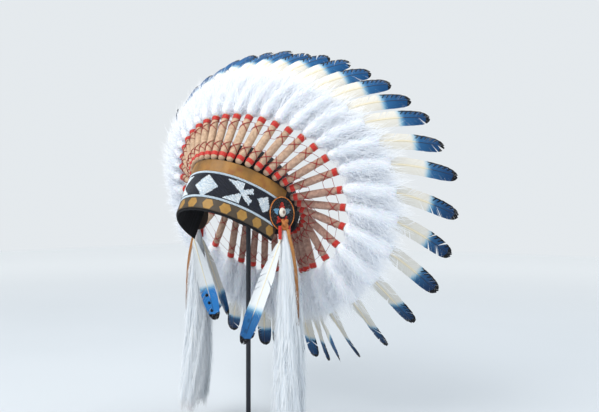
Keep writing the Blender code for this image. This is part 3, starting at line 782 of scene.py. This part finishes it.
# Down: a tuft of white marabou over each barrel's outer end. A soft lumpy heart carries curved
# strands that sweep toward the tip, and wisps reach over the foot of the vane.
DOWN_SHAPE = np.array(
    [(1.0, 0.62), (1.03, 0.84), (1.10, 0.98), (1.26, 1.0), (1.42, 0.90), (1.50, 0.55), (1.56, 0.4)]
)
HEART_SIDES = 14
HEART_PLACES = np.linspace(1.0, 1.48, 13)
DOWN_HALF_THICK = 0.015
DOWN_FILL = 0.84
DOWN_LEAST = 0.0125
DOWN_STRANDS = 1150
DOWN_SPAN, LUSH_SPAN = 0.44, 0.09
STRAND_REACH = (0.75, 1.25)
STRAND_STEPS = 5
STRAND_SWEEP = (-0.001, 0.030)
STRAND_STRAY = (0.0030, 0.0054)
STRAND_WIDTH = (0.0005, 0.0010)
WISPS = 120
WISP_START, WISP_END, LUSH_END = 1.26, 1.47, 0.08
WISP_LIFT = (-0.006, 0.009)
WISP_SPREAD = (0.008, 0.024)
WISP_SWEEP = (0.016, 0.040)
WISP_STRAY = 0.005
WISP_WIDTH = (0.0006, 0.0011)
LUSH = np.array([(-110, 0.6), (-80, 1), (-25, 1), (45, 0)])
ROOT_SHADE = np.array([1, 0.55, 0.25, 0.05, 0])[:, None]
heart_white = Finish("down_heart", Roughness=0.95, Subsurface_Weight=0.15, Subsurface_Scale=0.004)
heart_white.paint(heart_white.noise(240.0, 5.0), (224, 230, 240), (250, 251, 253))
heart_white.bump(heart_white.noise(420.0, 5.0), 0.002, 0.7)
strand_white = Finish("down_strand", Roughness=0.9, Sheen_Weight=0.25)
strand_white.paint(strand_white.share("root"), (252, 253, 255), (226, 232, 242))
strand_white.glow(0.45, (250, 252, 255))


def add_strands(heap, roots, middles, tips, faces, width, **shares):
    """Flat strands that bend from root to tip and narrow to a point."""
    time = np.linspace(0, 1, STRAND_STEPS)[:, None]
    path = (
        roots[:, None] * (1 - time) ** 2
        + middles[:, None] * 2 * time * (1 - time)
        + tips[:, None] * time**2
    )
    side = rows_unit(np.cross(np.gradient(path, axis=1), faces[:, None]))
    half = side * (width[:, None, None] * (1 - 0.85 * time**2)) / 2
    points = np.stack([path - half, path + half], 2)
    full = {key: np.broadcast_to(value, points.shape[:3]) for key, value in shares.items()}
    heap.add(points, many(grid_quads(STRAND_STEPS, 2), len(roots), STRAND_STEPS * 2), **full)


turn = circle(HEART_SIDES)
for number, shaft in enumerate(shafts, start=1):
    maker = np.random.default_rng(300 + number)
    centre, _, across, facing = shaft.at(HEART_PLACES)
    gap = 0
    for other in (shafts[number - 2], shafts[number % len(shafts)]):
        gap = gap + np.linalg.norm(other.at(HEART_PLACES)[0] - centre, axis=1) / 2
    room = gap / 2 * DOWN_FILL
    lump = 0.84 + 0.07 * np.sin(3 * turn + HEART_PLACES[:, None] * 30 + number)
    lump = lump + maker.normal(0, 0.04, lump.shape)
    ring = spokes(across * room[:, None], facing * DOWN_HALF_THICK, turn)
    ring = ring * (lump * look_up(DOWN_SHAPE, HEART_PLACES)[:, None])[..., None]
    heart = Heap(centre[:, None] + ring, tube_quads(len(HEART_PLACES), HEART_SIDES))
    heart.piece(f"down_heart_{number:02d}", heart_white, "feather_white")
    lush = look_up(LUSH, angles[number - 1])
    root_along = 1.0 + (DOWN_SPAN + LUSH_SPAN * lush) * maker.random(DOWN_STRANDS) ** 0.85
    angle = maker.random((DOWN_STRANDS, 1)) * 2 * np.pi
    centre, direction, across, facing = shaft.at(root_along)
    width = np.maximum(np.interp(root_along, HEART_PLACES, room) * 1.5, DOWN_LEAST)[:, None]
    spoke = across * np.cos(angle) * width + facing * np.sin(angle) * DOWN_HALF_THICK
    shaped = spoke * look_up(DOWN_SHAPE, root_along)[:, None]
    reached = shaped * maker.uniform(*STRAND_REACH, (DOWN_STRANDS, 1))
    sweep = direction * maker.uniform(*STRAND_SWEEP, (DOWN_STRANDS, 1)) * (1 + 0.3 * lush)
    roots = centre + shaped * 0.55
    middles = roots + reached * 0.65 + sweep * 0.2 + maker.normal(0, STRAND_STRAY[0], roots.shape)
    tips = centre + reached * 1.05 + sweep * 1.1 + maker.normal(0, STRAND_STRAY[1], roots.shape)
    face = rows_unit(np.cross(direction, maker.normal(0, 1, tips.shape)) + spoke * 40)
    thinness = maker.uniform(*STRAND_WIDTH, DOWN_STRANDS)
    tuft = Heap()
    add_strands(tuft, roots, middles, tips, face, thinness, root=ROOT_SHADE)
    wisp_along = maker.uniform(WISP_START, WISP_END + LUSH_END * lush, WISPS)
    centre, direction, across, facing = shaft.at(wisp_along)
    hand = np.where(maker.random((WISPS, 1)) < 0.5, -1, 1)
    lifted = facing * maker.uniform(*WISP_LIFT, (WISPS, 1))
    spread = across * hand * maker.uniform(*WISP_SPREAD, (WISPS, 1))
    sweep = direction * maker.uniform(*WISP_SWEEP, (WISPS, 1))
    middles = centre + spread * 0.75 + lifted + sweep * 0.3
    tips = centre + spread + lifted * 1.4 + sweep + maker.normal(0, WISP_STRAY, (WISPS, 3))
    thinness = maker.uniform(*WISP_WIDTH, WISPS)
    add_strands(tuft, centre, middles, tips, facing, thinness, root=ROOT_SHADE)
    tuft.piece(f"down_{number:02d}", strand_white, "feather_white")

# Vanes: barbs lie close in locks on both sides of a tapered horn quill, cupped a little, with a
# few splits. Tips are dyed blue and edged in black; a painted shade by angle greys the cream and
# deepens the blue to navy on the vanes round both sides.
# By angle, a vane turns some degrees about its quill and its tip curls back some metres.
VANE_START = 1.24
VANE_HALF_WIDTH = 0.0137
VANE_CUP = 0.0008
VANE_DROOP = 0.0018
VANE_SWAY = 3
QUILL_REACH = (-0.3, 0.965)
QUILL_RADII = (0.0015, 0.0004)
LOCKS = 46
LOCK_SLANT = 0.105
LOCK_GAP = 0.0002
LOCK_LEAST = 0.0015
SPLIT_SHARE = 0.07
SPLIT_WIDTH = 0.012
BARB_STEPS = 5
BARB_SHINGLE = 0.00010
BARB_STRAY = 0.00022
CUP_DEPTH = 3.2
QUILL_RINGS = 16
VANE_SHAPE = np.array(
    [(0.0, 0.25), (0.06, 0.55), (0.14, 0.80), (0.35, 0.97), (0.72, 1.0), (0.84, 0.97)]
    + [(0.92, 0.86), (0.965, 0.68), (0.99, 0.42), (1.0, 0.14)]
)
TURNS = np.array(
    [(-80, 0), (-62, -8), (-48, -26), (-20, -38), (10, -34), (40, -24), (65, -12), (90, 0)]
    + [(112, -18), (125, -48), (150, -52), (165, -20), (180, 0)]
)
# Painted shade by angle round the rim, 0 to 1: how grey the cream and how navy the blue of each vane.
VANE_SHADES = np.array([(-90, 0.9), (-62, 0.8), (-50, 0.1), (30, 0.0), (75, 0.45), (110, 0.8), (180, 0.3)])
CURLS = np.array([(-95, 0), (-60, 0.004), (-30, 0.012), (20, 0.012), (60, 0.006), (95, 0)])
DROP_SPOTS_PER_LENGTH = 10.6
DROP_SPOT_SIDE = 0.32
DROP_SPOT_SIZE = 0.044
plume = Finish("feather_vane", Roughness=0.66, Specular_IOR_Level=0.2)
along_vane, over, barb, tint, drop, leading = (
    plume.share(name) for name in ("along", "over", "barb", "tint", "drop", "lead")
)
lead = over * leading
laced = 1.0 - drop
streak_place = plume.node("ShaderNodeCombineXYZ", None, [barb * 60.0, tint * 40.0, 0.0])
streaks = plume.noise(3.0, 4.0, streak_place)
cream = plume.blend(plume.ramp(streaks, 0.2, 0.8), (218, 211, 196), (238, 235, 227))
# Painted shade: the cream of the shaded vanes goes grey.
cream = plume.blend(tint * 0.6, cream, (204, 205, 203))
near_quill = 1.0 - plume.ramp(abs(over), 0.02, 0.22)
cream = plume.blend(near_quill * laced * 0.55, cream, (222, 204, 158))
snow = plume.blend(streaks, (206, 215, 224), (242, 246, 249))
# The drop share is zero on the fan's vanes. On the drop feathers it whitens the cream, brightens the
# blue and shows the spots, and it is set lower on those that hang in shade: painted shade.
cream = plume.blend(plume.ramp(drop, 0.0, 0.4) * 0.85, cream, snow)
dye_place = along_vane + ((streaks - 0.5) * 0.06 + drop * 0.11)
cyan_share = plume.ramp(dye_place, 0.665, 0.73)
blue_share = plume.ramp(dye_place, 0.70, 0.765)
medium = plume.blend(streaks, (12, 62, 108), (26, 94, 150))
navy = plume.blend(streaks, (8, 20, 46), (18, 46, 88))
bright_blue = plume.blend(streaks, (26, 96, 172), (62, 148, 218))
# Painted shade: the blue of the shaded vanes goes navy.
deep = plume.blend(drop, plume.blend(tint, medium, navy), bright_blue)
dyed = plume.blend(blue_share, plume.blend(cyan_share, cream, (128, 178, 206)), deep)
fresh = 1.0 - plume.ramp(along_vane, 0.72, 0.93)
dyed = plume.blend(fresh * blue_share * laced * 0.3, dyed, (70, 140, 196))
edge = plume.ramp(lead, 0.80, 0.86) * plume.ramp(along_vane, 0.70, 0.73)
tip = plume.ramp(along_vane + abs(over) * 0.02 + (drop + tint) * 0.03, 0.972, 0.982)
ticks = (barb * 22.0).fraction() < 0.34
ticks = ticks * plume.ramp(lead, 0.42, 0.50) * plume.ramp(barb, 0.66, 0.68)
off_middle = ((along_vane + 0.018) * DROP_SPOTS_PER_LENGTH).fraction() - 0.5
off_side = over + DROP_SPOT_SIDE
dots = (off_middle * off_middle + off_side * off_side) < DROP_SPOT_SIZE
dots = dots * drop * blue_share * (along_vane < 0.92)
black = edge.larger(tip).larger(ticks * laced).larger(dots)
plume.paint(black, dyed, (12, 14, 20))
ridge = (barb * 150.0).fraction()
plume.bump(abs(ridge - 0.5) + streaks * 0.4, 0.0003, 0.5)
quill_finish = Finish("feather_quill", Roughness=0.4)
horn = quill_finish.blend(quill_finish.noise(200.0), (230, 216, 180), (244, 237, 216))
inked = quill_finish.ramp(quill_finish.share("along"), 0.68, 0.76)
quill_finish.paint(inked, horn, (22, 36, 62))


def add_vane(heap, maker, frames, half_width, cup, lead_side, shade_amount, shape=VANE_SHAPE, drop=0.0):
    """Both sides of a vane. frames gives the shaft's frame at a share of the vane's length."""
    time = np.linspace(0, 1, BARB_STEPS + 1)[None, :, None]
    for hand in (-1, 1):
        root = np.linspace(0, 0.985, LOCKS + 1) ** 0.92
        root[1:-1] += maker.normal(0, 0.002, LOCKS - 1)
        end = np.minimum(root + LOCK_SLANT * (1 - root) / (1.06 - root) * (0.6 + 0.4 * root), 1.0)
        split = maker.random(LOCKS + 1) < SPLIT_SHARE * (1.35 - end)
        open_up = split * maker.uniform(0.35, 1.0, LOCKS + 1) * SPLIT_WIDTH
        low = end[:-1] + open_up[:-1] + LOCK_GAP
        high = np.maximum(end[1:] - open_up[1:] - LOCK_GAP, low + LOCK_LEAST)
        begins = np.stack([root[:-1], root[1:]], 1)[:, None, :]
        ends = np.stack([low, high], 1)[:, None, :]
        u = np.minimum(begins + (ends - begins) * time**1.15, 1.0)
        point, _, across, facing = frames(u)
        ragged = 1 + maker.normal(0, 0.010, (LOCKS, 1, 2))
        reach = half_width * look_up(shape, ends) * time * ragged * hand
        lift = np.array([-1, 1]) * BARB_SHINGLE * time - cup * CUP_DEPTH * time**2 * look_up(shape, u)
        lift = lift + maker.normal(0, BARB_STRAY, (LOCKS, 1, 1)) * time**2
        heap.add(
            point + across * reach[..., None] + facing * lift[..., None],
            many(grid_quads(BARB_STEPS + 1, 2), LOCKS, (BARB_STEPS + 1) * 2),
            along=u,
            over=np.broadcast_to(time * hand, u.shape),
            barb=np.broadcast_to(begins, u.shape),
            tint=shade_amount,
            lead=lead_side,
            drop=drop,
        )


def add_quill(heap, frames, reach, radii):
    """A tapered quill between two places along its vane."""
    u = np.linspace(*reach, QUILL_RINGS)
    point, _, across, facing = frames(u)
    radius = np.linspace(*radii, QUILL_RINGS)[:, None, None]
    ring = spokes(across, facing, circle(THREAD_SIDES)) * radius
    quads = tube_quads(QUILL_RINGS, THREAD_SIDES)
    heap.add(point[:, None] + ring, quads, along=np.repeat(u, THREAD_SIDES))


for number, shaft in enumerate(shafts, start=1):
    maker = np.random.default_rng(500 + number)
    around = angles[number - 1]
    droop = maker.normal(0, VANE_DROOP, 2)
    turned = math.radians(look_up(TURNS, around) + maker.normal(0, VANE_SWAY))
    curl = look_up(CURLS, around)

    def frames(share, shaft=shaft, droop=droop, turned=turned, curl=curl):
        point, direction, across, facing = shaft.at(VANE_START + (2 - VANE_START) * share)
        share = np.maximum(np.asarray(share), 0)[..., None]
        bend = across * droop[0] + facing * (droop[1] - curl)
        bend = bend * share**2 + facing * curl * 0.35 * np.sin(np.pi * share)
        twist = turned * np.minimum(share / 0.65, 1) ** 1.3
        wide = across * np.cos(twist) + facing * np.sin(twist)
        return point + bend, direction, wide, np.cross(wide, direction)

    blade = Heap()
    side = 1 if around < -10 else -1
    add_vane(blade, maker, frames, VANE_HALF_WIDTH, VANE_CUP, side, look_up(VANE_SHADES, around))
    blade.piece(f"vane_{number:02d}", plume, "feather_white")
    spine = Heap()
    add_quill(spine, frames, QUILL_REACH, QUILL_RADII)
    spine.piece(f"quill_{number:02d}", quill_finish, "bone")

# Rosettes: rings of seed beads on a leather disc, a five-armed star on black with an orange
# edge. Each is square to the band's wall at its temple, and turned a little toward the brow.
ROSETTE_ANGLE = 86.0
ROSETTE_DROP = 0.04055
ROSETTE_BACK = 0.00245
ROSETTE_FRONT = 0.00545
ROSETTE_RADIUS = 0.027
ROSETTE_TURN = math.radians(8.0)
ROSETTE_RAISED = 0.0012
RING_PITCH = 0.00178
RING_BEAD = 0.0019
STAR_BEAD_RADIUS, STAR_BEAD_HALF = 0.00092, 0.00082
EDGE_CODE = 4
EDGE_LIFT = 0.0004
ARM_TIP, ARM_FOOT, ARM_HALF = 0.0205, 0.0085, 0.0062
ARMS = ((90, 1), (162, 2), (18, 3), (234, 1), (306, 1))
CODE_COLOURS = (
    ((176, 22, 20), (226, 52, 34)),
    ((96, 160, 204), (150, 204, 234)),
    ((104, 136, 156), (150, 180, 196)),
    ((196, 104, 34), (238, 150, 66)),
)
DISC_SIDES = 64
DISC_PROFILE = (
    (ROSETTE_BACK, 0.0258),
    (ROSETTE_BACK + 0.0006, 0.0268),
    (ROSETTE_FRONT - 0.0010, 0.0266),
    (ROSETTE_FRONT - 0.0004, 0.0255),
    (ROSETTE_FRONT - 0.0005, 0.0120),
)
PLUMB = Vector((0, 0, -1))


class Temple:
    """Places at one rosette, told by metres out from the band, toward the back, and down."""

    def __init__(self, side):
        self.side = side
        self.label = "left" if side > 0 else "right"
        self.outward = rim_outward(side * ROSETTE_ANGLE)
        self.wall_down = (PLUMB - self.outward * PLUMB.dot(self.outward)).normalized()
        self.backward = self.outward.cross(self.wall_down) * side
        self.centre = rim_point(side * ROSETTE_ANGLE) - RIM_UP * ROSETTE_DROP
        self.axes = [np.array(v) for v in (self.backward, -self.wall_down, self.outward)]

    def point(self, out, back, down):
        on_wall = min(down, ROSETTE_RADIUS)
        across = self.outward * out + self.backward * back
        return self.centre + across + self.wall_down * on_wall + PLUMB * (down - on_wall)


temples = [Temple(1), Temple(-1)]
star_beads = Finish("rosette_beads", Coat_Weight=0.35, Coat_Roughness=0.15)
tone, hue = star_beads.share("tone"), star_beads.share("hue")
colour = star_beads.blend(tone, (10, 11, 16), (30, 31, 40))
for code, (first, second) in enumerate(CODE_COLOURS, start=1):
    chosen = 1.0 - abs(hue - float(code)).smaller(1.0)
    colour = star_beads.blend(chosen, colour, star_beads.blend(tone, first, second))
star_beads.put("Base Color", colour)
star_beads.put("Roughness", tone * 0.15 + 0.18)
disc_hide = Finish("rosette_disc", Roughness=0.8)
disc_hide.paint(disc_hide.noise(300.0), (24, 18, 14), (62, 46, 32))
disc_hide.bump(disc_hide.noise(700.0), 0.0003)
radii = [*np.arange(0.0010, ROSETTE_RADIUS - 0.0022, RING_PITCH), ROSETTE_RADIUS - 0.0011]
places, turns, hues, lifts = [], [], [], []
for number, radius in enumerate(radii):
    count = max(4, int(2 * math.pi * radius / RING_BEAD))
    turn = (np.arange(count) + 0.5 * (number % 2)) / count * 2 * np.pi
    codes = np.zeros(count)
    for degrees, code in ARMS:
        delta = turn - math.radians(degrees)
        reach, aside = radius * np.cos(delta), radius * np.sin(delta)
        room = ARM_HALF * (ARM_TIP - reach) / (ARM_TIP - ARM_FOOT)
        codes[(reach > ARM_FOOT) & (np.abs(aside) < room)] = code
    at_edge = radius == radii[-1]
    places.append(np.full(count, radius))
    turns.append(turn)
    hues.append(np.full(count, EDGE_CODE) if at_edge else codes)
    lifts.append(np.full(count, ROSETTE_FRONT - (0 if at_edge else EDGE_LIFT)))
places, turns, hues, lifts = (np.concatenate(rows)[:, None] for rows in (places, turns, hues, lifts))
for temple in temples:
    maker = np.random.default_rng(11)
    back, up, out = temple.axes
    middle = np.array(temple.centre) + out * ROSETTE_RAISED
    cosine, sine = math.cos(ROSETTE_TURN), math.sin(ROSETTE_TURN)
    back, out = back * cosine + out * sine, out * cosine - back * sine
    spoke = back * np.cos(turns) + up * np.sin(turns)
    axis = up * np.cos(turns) - back * np.sin(turns)
    centre = middle + spoke * places + out * lifts
    outward = np.broadcast_to(out, spoke.shape)
    rosette = Heap(
        bead_points(centre, axis, spoke, outward, STAR_BEAD_RADIUS, STAR_BEAD_HALF),
        many(bead_quads, len(turns), points_each),
        hue=np.repeat(hues, points_each),
        tone=np.repeat(maker.random(len(turns)), points_each),
    )
    rosette.piece(f"rosette_beads_{temple.label}", star_beads, "rosette_beads")
    ring = spokes(back, up, circle(DISC_SIDES))
    rows = [middle + ring * radius + out * height for height, radius in DISC_PROFILE]
    disc = Heap(rows, tube_quads(len(DISC_PROFILE), DISC_SIDES))
    disc.piece(f"rosette_disc_{temple.label}", disc_hide, "leather_tan", [f"rosette_{temple.label}"])

# Conchos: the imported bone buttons, brown where the thong goes through and creamy at the rim,
# with fine rings of turning.
CONCHO_LIFT = 0.0020
bone = Finish("bone_button", Coat_Weight=0.3)
hubs = [tuple(temple.point(ROSETTE_FRONT, 0, -CONCHO_LIFT)) for temple in temples]
here = bone.place()
left_away, right_away = (
    bone.node("ShaderNodeVectorMath", {"operation": "DISTANCE"}, [here, hub], 1) for hub in hubs
)
away = right_away.smaller(left_away)
pale = bone.blend(bone.noise(300.0, 4.0), (226, 216, 198), (246, 240, 230))
bone.paint(bone.ramp(away, 0.0040, 0.0056), (112, 62, 34), pale)
bone.put("Roughness", bone.noise(500.0) * 0.2 + 0.25)
bone.bump((away * 9000.0).sine(), 0.0001, 0.5)
for temple in temples:
    restyle(f"concho_{temple.label}", bone)

# Thong knots: one turn of tan leather below each concho, pulled tight into a trefoil. The
# hanging thong comes out of it.
KNOT_HALF_WIDTH, KNOT_HALF_DEPTH, KNOT_HALF_HEIGHT = 0.0080, 0.0050, 0.0100
KNOT_OUT = 0.01075
KNOT_DROP = 0.0165
KNOT_CORE = 0.0026
KNOT_WIDE, KNOT_THICK = 0.0030, 0.0022
KNOT_STEPS, KNOT_SIDES = 72, 10
knot_hide = Finish("knot_leather")
weathered = knot_hide.noise(160.0, 4.0)
knot_hide.paint(weathered, (150, 84, 34), (206, 130, 62))
knot_hide.put("Roughness", weathered * 0.3 + 0.45)
knot_hide.bump(knot_hide.noise(800.0, 3.0), 0.0004, 0.7)
angle = circle(KNOT_STEPS)[:, None]
for temple in temples:
    across, up, out = temple.axes
    path = (
        across * (np.sin(angle) + 2 * np.sin(2 * angle)) / 2.8 * (KNOT_HALF_WIDTH - KNOT_CORE)
        + up * (np.cos(angle) - 2 * np.cos(2 * angle)) / 3.0 * (KNOT_HALF_HEIGHT - KNOT_CORE)
        - out * np.sin(3 * angle) * (KNOT_HALF_DEPTH - KNOT_CORE)
    )
    path = np.array(temple.point(KNOT_OUT, 0, KNOT_DROP)) + path
    knot = Heap(*closed_loop(path, out, KNOT_SIDES, KNOT_WIDE, KNOT_THICK))
    knot.piece(f"knot_{temple.label}", knot_hide, "thong_leather", [f"thong_knot_{temple.label}"])

# Hanging thongs: flat strips of soft leather, tan at the knot and darker below, cut square.
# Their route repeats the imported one, out from the wall and down, and each faces its own way.
THONG_WIDTH = 0.005
THONG_THICKNESS = 0.0016
THONG_FACINGS = {"left": 0.75, "right": -0.30}
THONG_FORWARD = (0, -0.66, 0)
HANG_DROP = 0.0268
THONG_ROUTE = (
    (0.0164, -0.0018), (0.0186, 0.0085), (0.0216, 0.0175), (0.0244, 0.0265),
    (0.0268, 0.0360), (0.0288, 0.0455), (0.0304, 0.0555), (0.0316, 0.0655),
    (0.0326, 0.0755), (0.0333, 0.0855), (0.0338, 0.0955), (0.0342, 0.1055),
    (0.0345, 0.1155), (0.0346, 0.1255), (0.0346, 0.1355), (0.0345, 0.1455),
)
THONG_CORNERS = [(-1, -0.7), (-0.9, -1), (0, -1.15), (0.9, -1), (1, -0.7)]
THONG_CORNERS = np.array(THONG_CORNERS + [(-x, -y) for x, y in THONG_CORNERS])
thong_hide = Finish("thong_hide", Roughness=0.8)
worn = thong_hide.noise(220.0, 5.0)
tan = thong_hide.blend(worn, (150, 96, 46), (190, 134, 74))
brown = thong_hide.blend(worn, (84, 54, 34), (124, 84, 56))
thong_hide.paint(thong_hide.share("lowness"), tan, brown)
thong_hide.bump(worn + thong_hide.noise(900.0), 0.0004, 0.7)
for temple in temples:
    path = [temple.point(out, 0, HANG_DROP + down) for out, down in THONG_ROUTE]
    length = sum((after - before).length for before, after in zip(path, path[1:]))
    line = np.array(path)
    facing = np.array(temple.outward) * THONG_FACINGS[temple.label] + np.array(THONG_FORWARD)
    aside, lifted = beside(np.gradient(line, axis=0), facing)
    ring = aside[:, None] * THONG_CORNERS[:, :1] * THONG_WIDTH / 2
    ring = ring + lifted[:, None] * THONG_CORNERS[:, 1:] * THONG_THICKNESS / 2
    low = np.repeat(np.linspace(0, 1, len(path)), len(THONG_CORNERS))
    strap = Heap(line[:, None] + ring, tube_quads(len(path), len(THONG_CORNERS)), lowness=low)
    name = f"hanging_thong_{temple.label}"
    made = strap.piece(f"thong_{temple.label}", thong_hide, "thong_leather", [name])

# Drop feathers: each hangs from a quill bound in glossy red thread, white with a blue tip, round
# black spots and a black end. A row gives its name, its temple, +1 toward the brow or -1 behind,
# length, lean to the back and inward as shares of it, half width and how lit it is: a painted
# light that whitens its vane and brightens its blue and spots, set low on those that hang in shade.
QUILL_OUT = 0.00985
QUILL_SIDE = 0.0112
QUILL_DROP = 0.0194
QUILL_LENGTH = 0.0210
QUILL_TAPER = 0.0020
QUILL_CORE = 0.0018
QUILL_THREAD = 0.00085
QUILL_TURNS = 13
DROP_CUP = 0.0006
# Painted shade on the drop feathers, as on the fan's vanes: greyer cream and navy blue, seen most on
# those that are least lit.
DROP_SHADE = 0.6
SPINE_REACH = (-0.06, 0.90)
SPINE_RADII = (0.0011, 0.0003)
FACE_FRONT = Vector((0.80, 0.60, 0))
DROP_SHAPE = np.array(
    [(0.0, 0.22), (0.12, 0.50), (0.35, 0.92), (0.75, 1.0), (0.93, 0.72), (0.985, 0.4), (1.0, 0.08)]
)
DROP_FEATHERS = (
    ("left_front", 0, 1, 0.152, -0.42, 0.14, 0.0120, 0.32),
    ("left_rear", 0, -1, 0.120, 0.32, 0.08, 0.0120, 0.3),
    ("right_front", 1, 1, 0.142, 0.20, 0.20, 0.0136, 1.0),
    ("right_rear", 1, -1, 0.140, 0.36, 0.14, 0.0105, 0.1),
)


class Line:
    """A straight shaft between two points, with the same frames as a feather's."""

    def __init__(self, start, end, across):
        self.start, self.end = np.array(start), np.array(end)
        self.direction = rows_unit(self.end - self.start)
        self.across = rows_unit(np.array(across) - self.direction * np.dot(across, self.direction))
        self.facing = np.cross(self.across, self.direction)

    def at(self, share):
        share = np.asarray(share, float)[..., None]
        point = self.start + (self.end - self.start) * share
        spread = [np.broadcast_to(v, point.shape) for v in (self.direction, self.across, self.facing)]
        return point, *spread


for number, (label, place, forward, length, lean_back, lean_in, half, lit_look) in enumerate(
    DROP_FEATHERS
):
    name, temple = f"drop_feather_{label}", temples[place]
    back = -forward * QUILL_SIDE
    foot_drop = QUILL_DROP + QUILL_LENGTH
    top = temple.point(QUILL_OUT, back, QUILL_DROP)
    foot = temple.point(QUILL_OUT, back, foot_drop)
    start = temple.point(QUILL_OUT, back, foot_drop + QUILL_TAPER)
    end = temple.point(
        QUILL_OUT - lean_in * length, back + lean_back * length, foot_drop + QUILL_TAPER + length
    )
    stub = Line(top, foot, temple.backward)
    winding = Heap()
    coil(winding, stub, 0.02, 0.98, QUILL_TURNS, QUILL_CORE, QUILL_THREAD)
    winding.piece(f"{name}_winding", red_thread, "rosette_beads")
    shaft = Line(start, end, FACE_FRONT if forward > 0 else temple.backward)
    maker = np.random.default_rng(900 + number)
    blade = Heap()
    add_vane(blade, maker, shaft.at, half, DROP_CUP, 0, DROP_SHADE, DROP_SHAPE, lit_look)
    blade.piece(f"{name}_vane", plume, "feather_white", [name])
    spine = Heap()
    add_quill(spine, shaft.at, SPINE_REACH, SPINE_RADII)
    spine.piece(f"{name}_spine", quill_finish, "bone")

# Fur tails: long white hair over a soft ribbed heart, hanging in locks to a ragged end that is
# a little pink and grey. The one at the wearer's right bows toward the back. The shape's
# columns are how far down, then shares of the width, the thickness and the standoff.
TAIL_LENGTH = 0.318
TAIL_HALF_WIDTH = 0.027
FUR_HALF_THICKNESS = 0.0155
TAIL_STANDOFF = 0.019
TAIL_BOWS = {"left": 0.0, "right": 0.014}
TAIL_SHAPE = np.array(
    [(0.0, 0.16, 0.24, 0.48), (0.05, 0.29, 0.38, 0.64), (0.11, 0.44, 0.50, 0.86)]
    + [(0.20, 0.60, 0.72, 0.96), (0.33, 0.80, 0.90, 1.0), (0.55, 0.98, 1.15, 1.0)]
    + [(0.80, 1.06, 1.25, 0.96), (0.93, 1.02, 1.15, 0.92), (1.0, 0.86, 0.90, 0.90)]
)
TAIL_RINGS, TAIL_SIDES = 22, 20
TAIL_HEART_END = 0.925
TAIL_HAIRS = 5200
HAIR_LOCK = 0.10
HAIR_LEAST = 0.02
HAIR_TWIST = 0.18
HAIR_RUN = (0.08, 0.20)
HAIR_WIDTH = (0.0007, 0.0014)
HAIR_STRAY = 0.0016
fur_heart = Finish("fur_heart", Roughness=0.9)
fur_heart.paint(fur_heart.noise(160.0, 4.0), (222, 227, 234), (246, 248, 250))
fur_heart.bump(fur_heart.noise(300.0, 4.0), 0.002, 0.8)
fur_hair = Finish("fur_hair", Roughness=0.6, Sheen_Weight=0.2)
fur_low = fur_hair.ramp(fur_hair.share("lowness"), 0.90, 1.0)
hair = fur_hair.blend(fur_hair.share("tone"), (236, 242, 249), (255, 255, 255))
fur_hair.paint(fur_low * 0.6, hair, (196, 174, 170))
fur_hair.glow(0.5, (250, 253, 255))


def tail_point(temple, down, angle, size):
    """A place in a tail: how far down it, which way from its middle and how far out."""
    width, thickness, standoff = (look_up(TAIL_SHAPE, down, column) for column in (1, 2, 3))
    base = np.array(temple.point(0, 0, HANG_DROP))
    drop = np.array(PLUMB) * (TAIL_LENGTH * down)[..., None]
    bow = TAIL_BOWS[temple.label] * np.sin(np.pi * np.clip(down / 0.9, 0, 1)) ** 0.6
    across = TAIL_HALF_WIDTH * width * np.cos(angle) * size + bow
    out = TAIL_STANDOFF * standoff + FUR_HALF_THICKNESS * thickness * np.sin(angle) * size
    sideways = np.array(temple.backward) * across[..., None]
    return base + drop + sideways + np.array(temple.outward) * out[..., None]


for temple in temples:
    maker = np.random.default_rng(41 if temple.side > 0 else 42)
    rows = np.repeat(np.linspace(0, TAIL_HEART_END, TAIL_RINGS)[:, None], TAIL_SIDES, 1)
    turn = circle(TAIL_SIDES)
    ribbed = 0.76 + 0.07 * np.sin(5 * turn + 3 * np.sin(rows * 5))
    ribbed = ribbed + maker.normal(0, 0.012, rows.shape)
    core = Heap(tail_point(temple, rows, turn, ribbed), tube_quads(TAIL_RINGS, TAIL_SIDES))
    core.piece(f"tail_heart_{temple.label}", fur_heart, "fur_white", [f"fur_tail_{temple.label}"])
    down = maker.random(TAIL_HAIRS) ** 0.9 * 0.90
    angle = maker.random(TAIL_HAIRS) * 2 * np.pi
    lock = HAIR_LOCK * np.sin(angle * 9 + down * 14)
    run = maker.uniform(*HAIR_RUN, TAIL_HAIRS)
    ragged = 0.955 + 0.03 * np.sin(angle * 5 + 1) + maker.uniform(-0.03, 0.02, TAIL_HAIRS)
    run = np.maximum(np.minimum(run, ragged - down), HAIR_LEAST)
    roots = tail_point(temple, down, angle, 0.80 + 0.1 * lock)
    middles = tail_point(temple, down + run * 0.45, angle, 1.06 + lock)
    angle = angle + maker.normal(0, HAIR_TWIST, TAIL_HAIRS)
    size = 1.14 + 1.4 * lock - 0.10 * maker.random(TAIL_HAIRS)
    ends = tail_point(temple, np.minimum(down + run, 1.0), angle, size)
    ends = ends + maker.normal(0, HAIR_STRAY, ends.shape)
    back, _, out = temple.axes
    face = back * np.cos(angle)[:, None] + out * np.sin(angle)[:, None]
    lowness = down[:, None] + run[:, None] * np.linspace(0, 1, STRAND_STEPS)
    tones = maker.random((TAIL_HAIRS, 1, 1))
    thinness = maker.uniform(*HAIR_WIDTH, TAIL_HAIRS)
    fur = Heap()
    add_strands(
        fur, roots, middles, ends, face, thinness, lowness=lowness[:, :, None], tone=tones
    )
    fur.piece(f"tail_hair_{temple.label}", fur_hair, "fur_white")
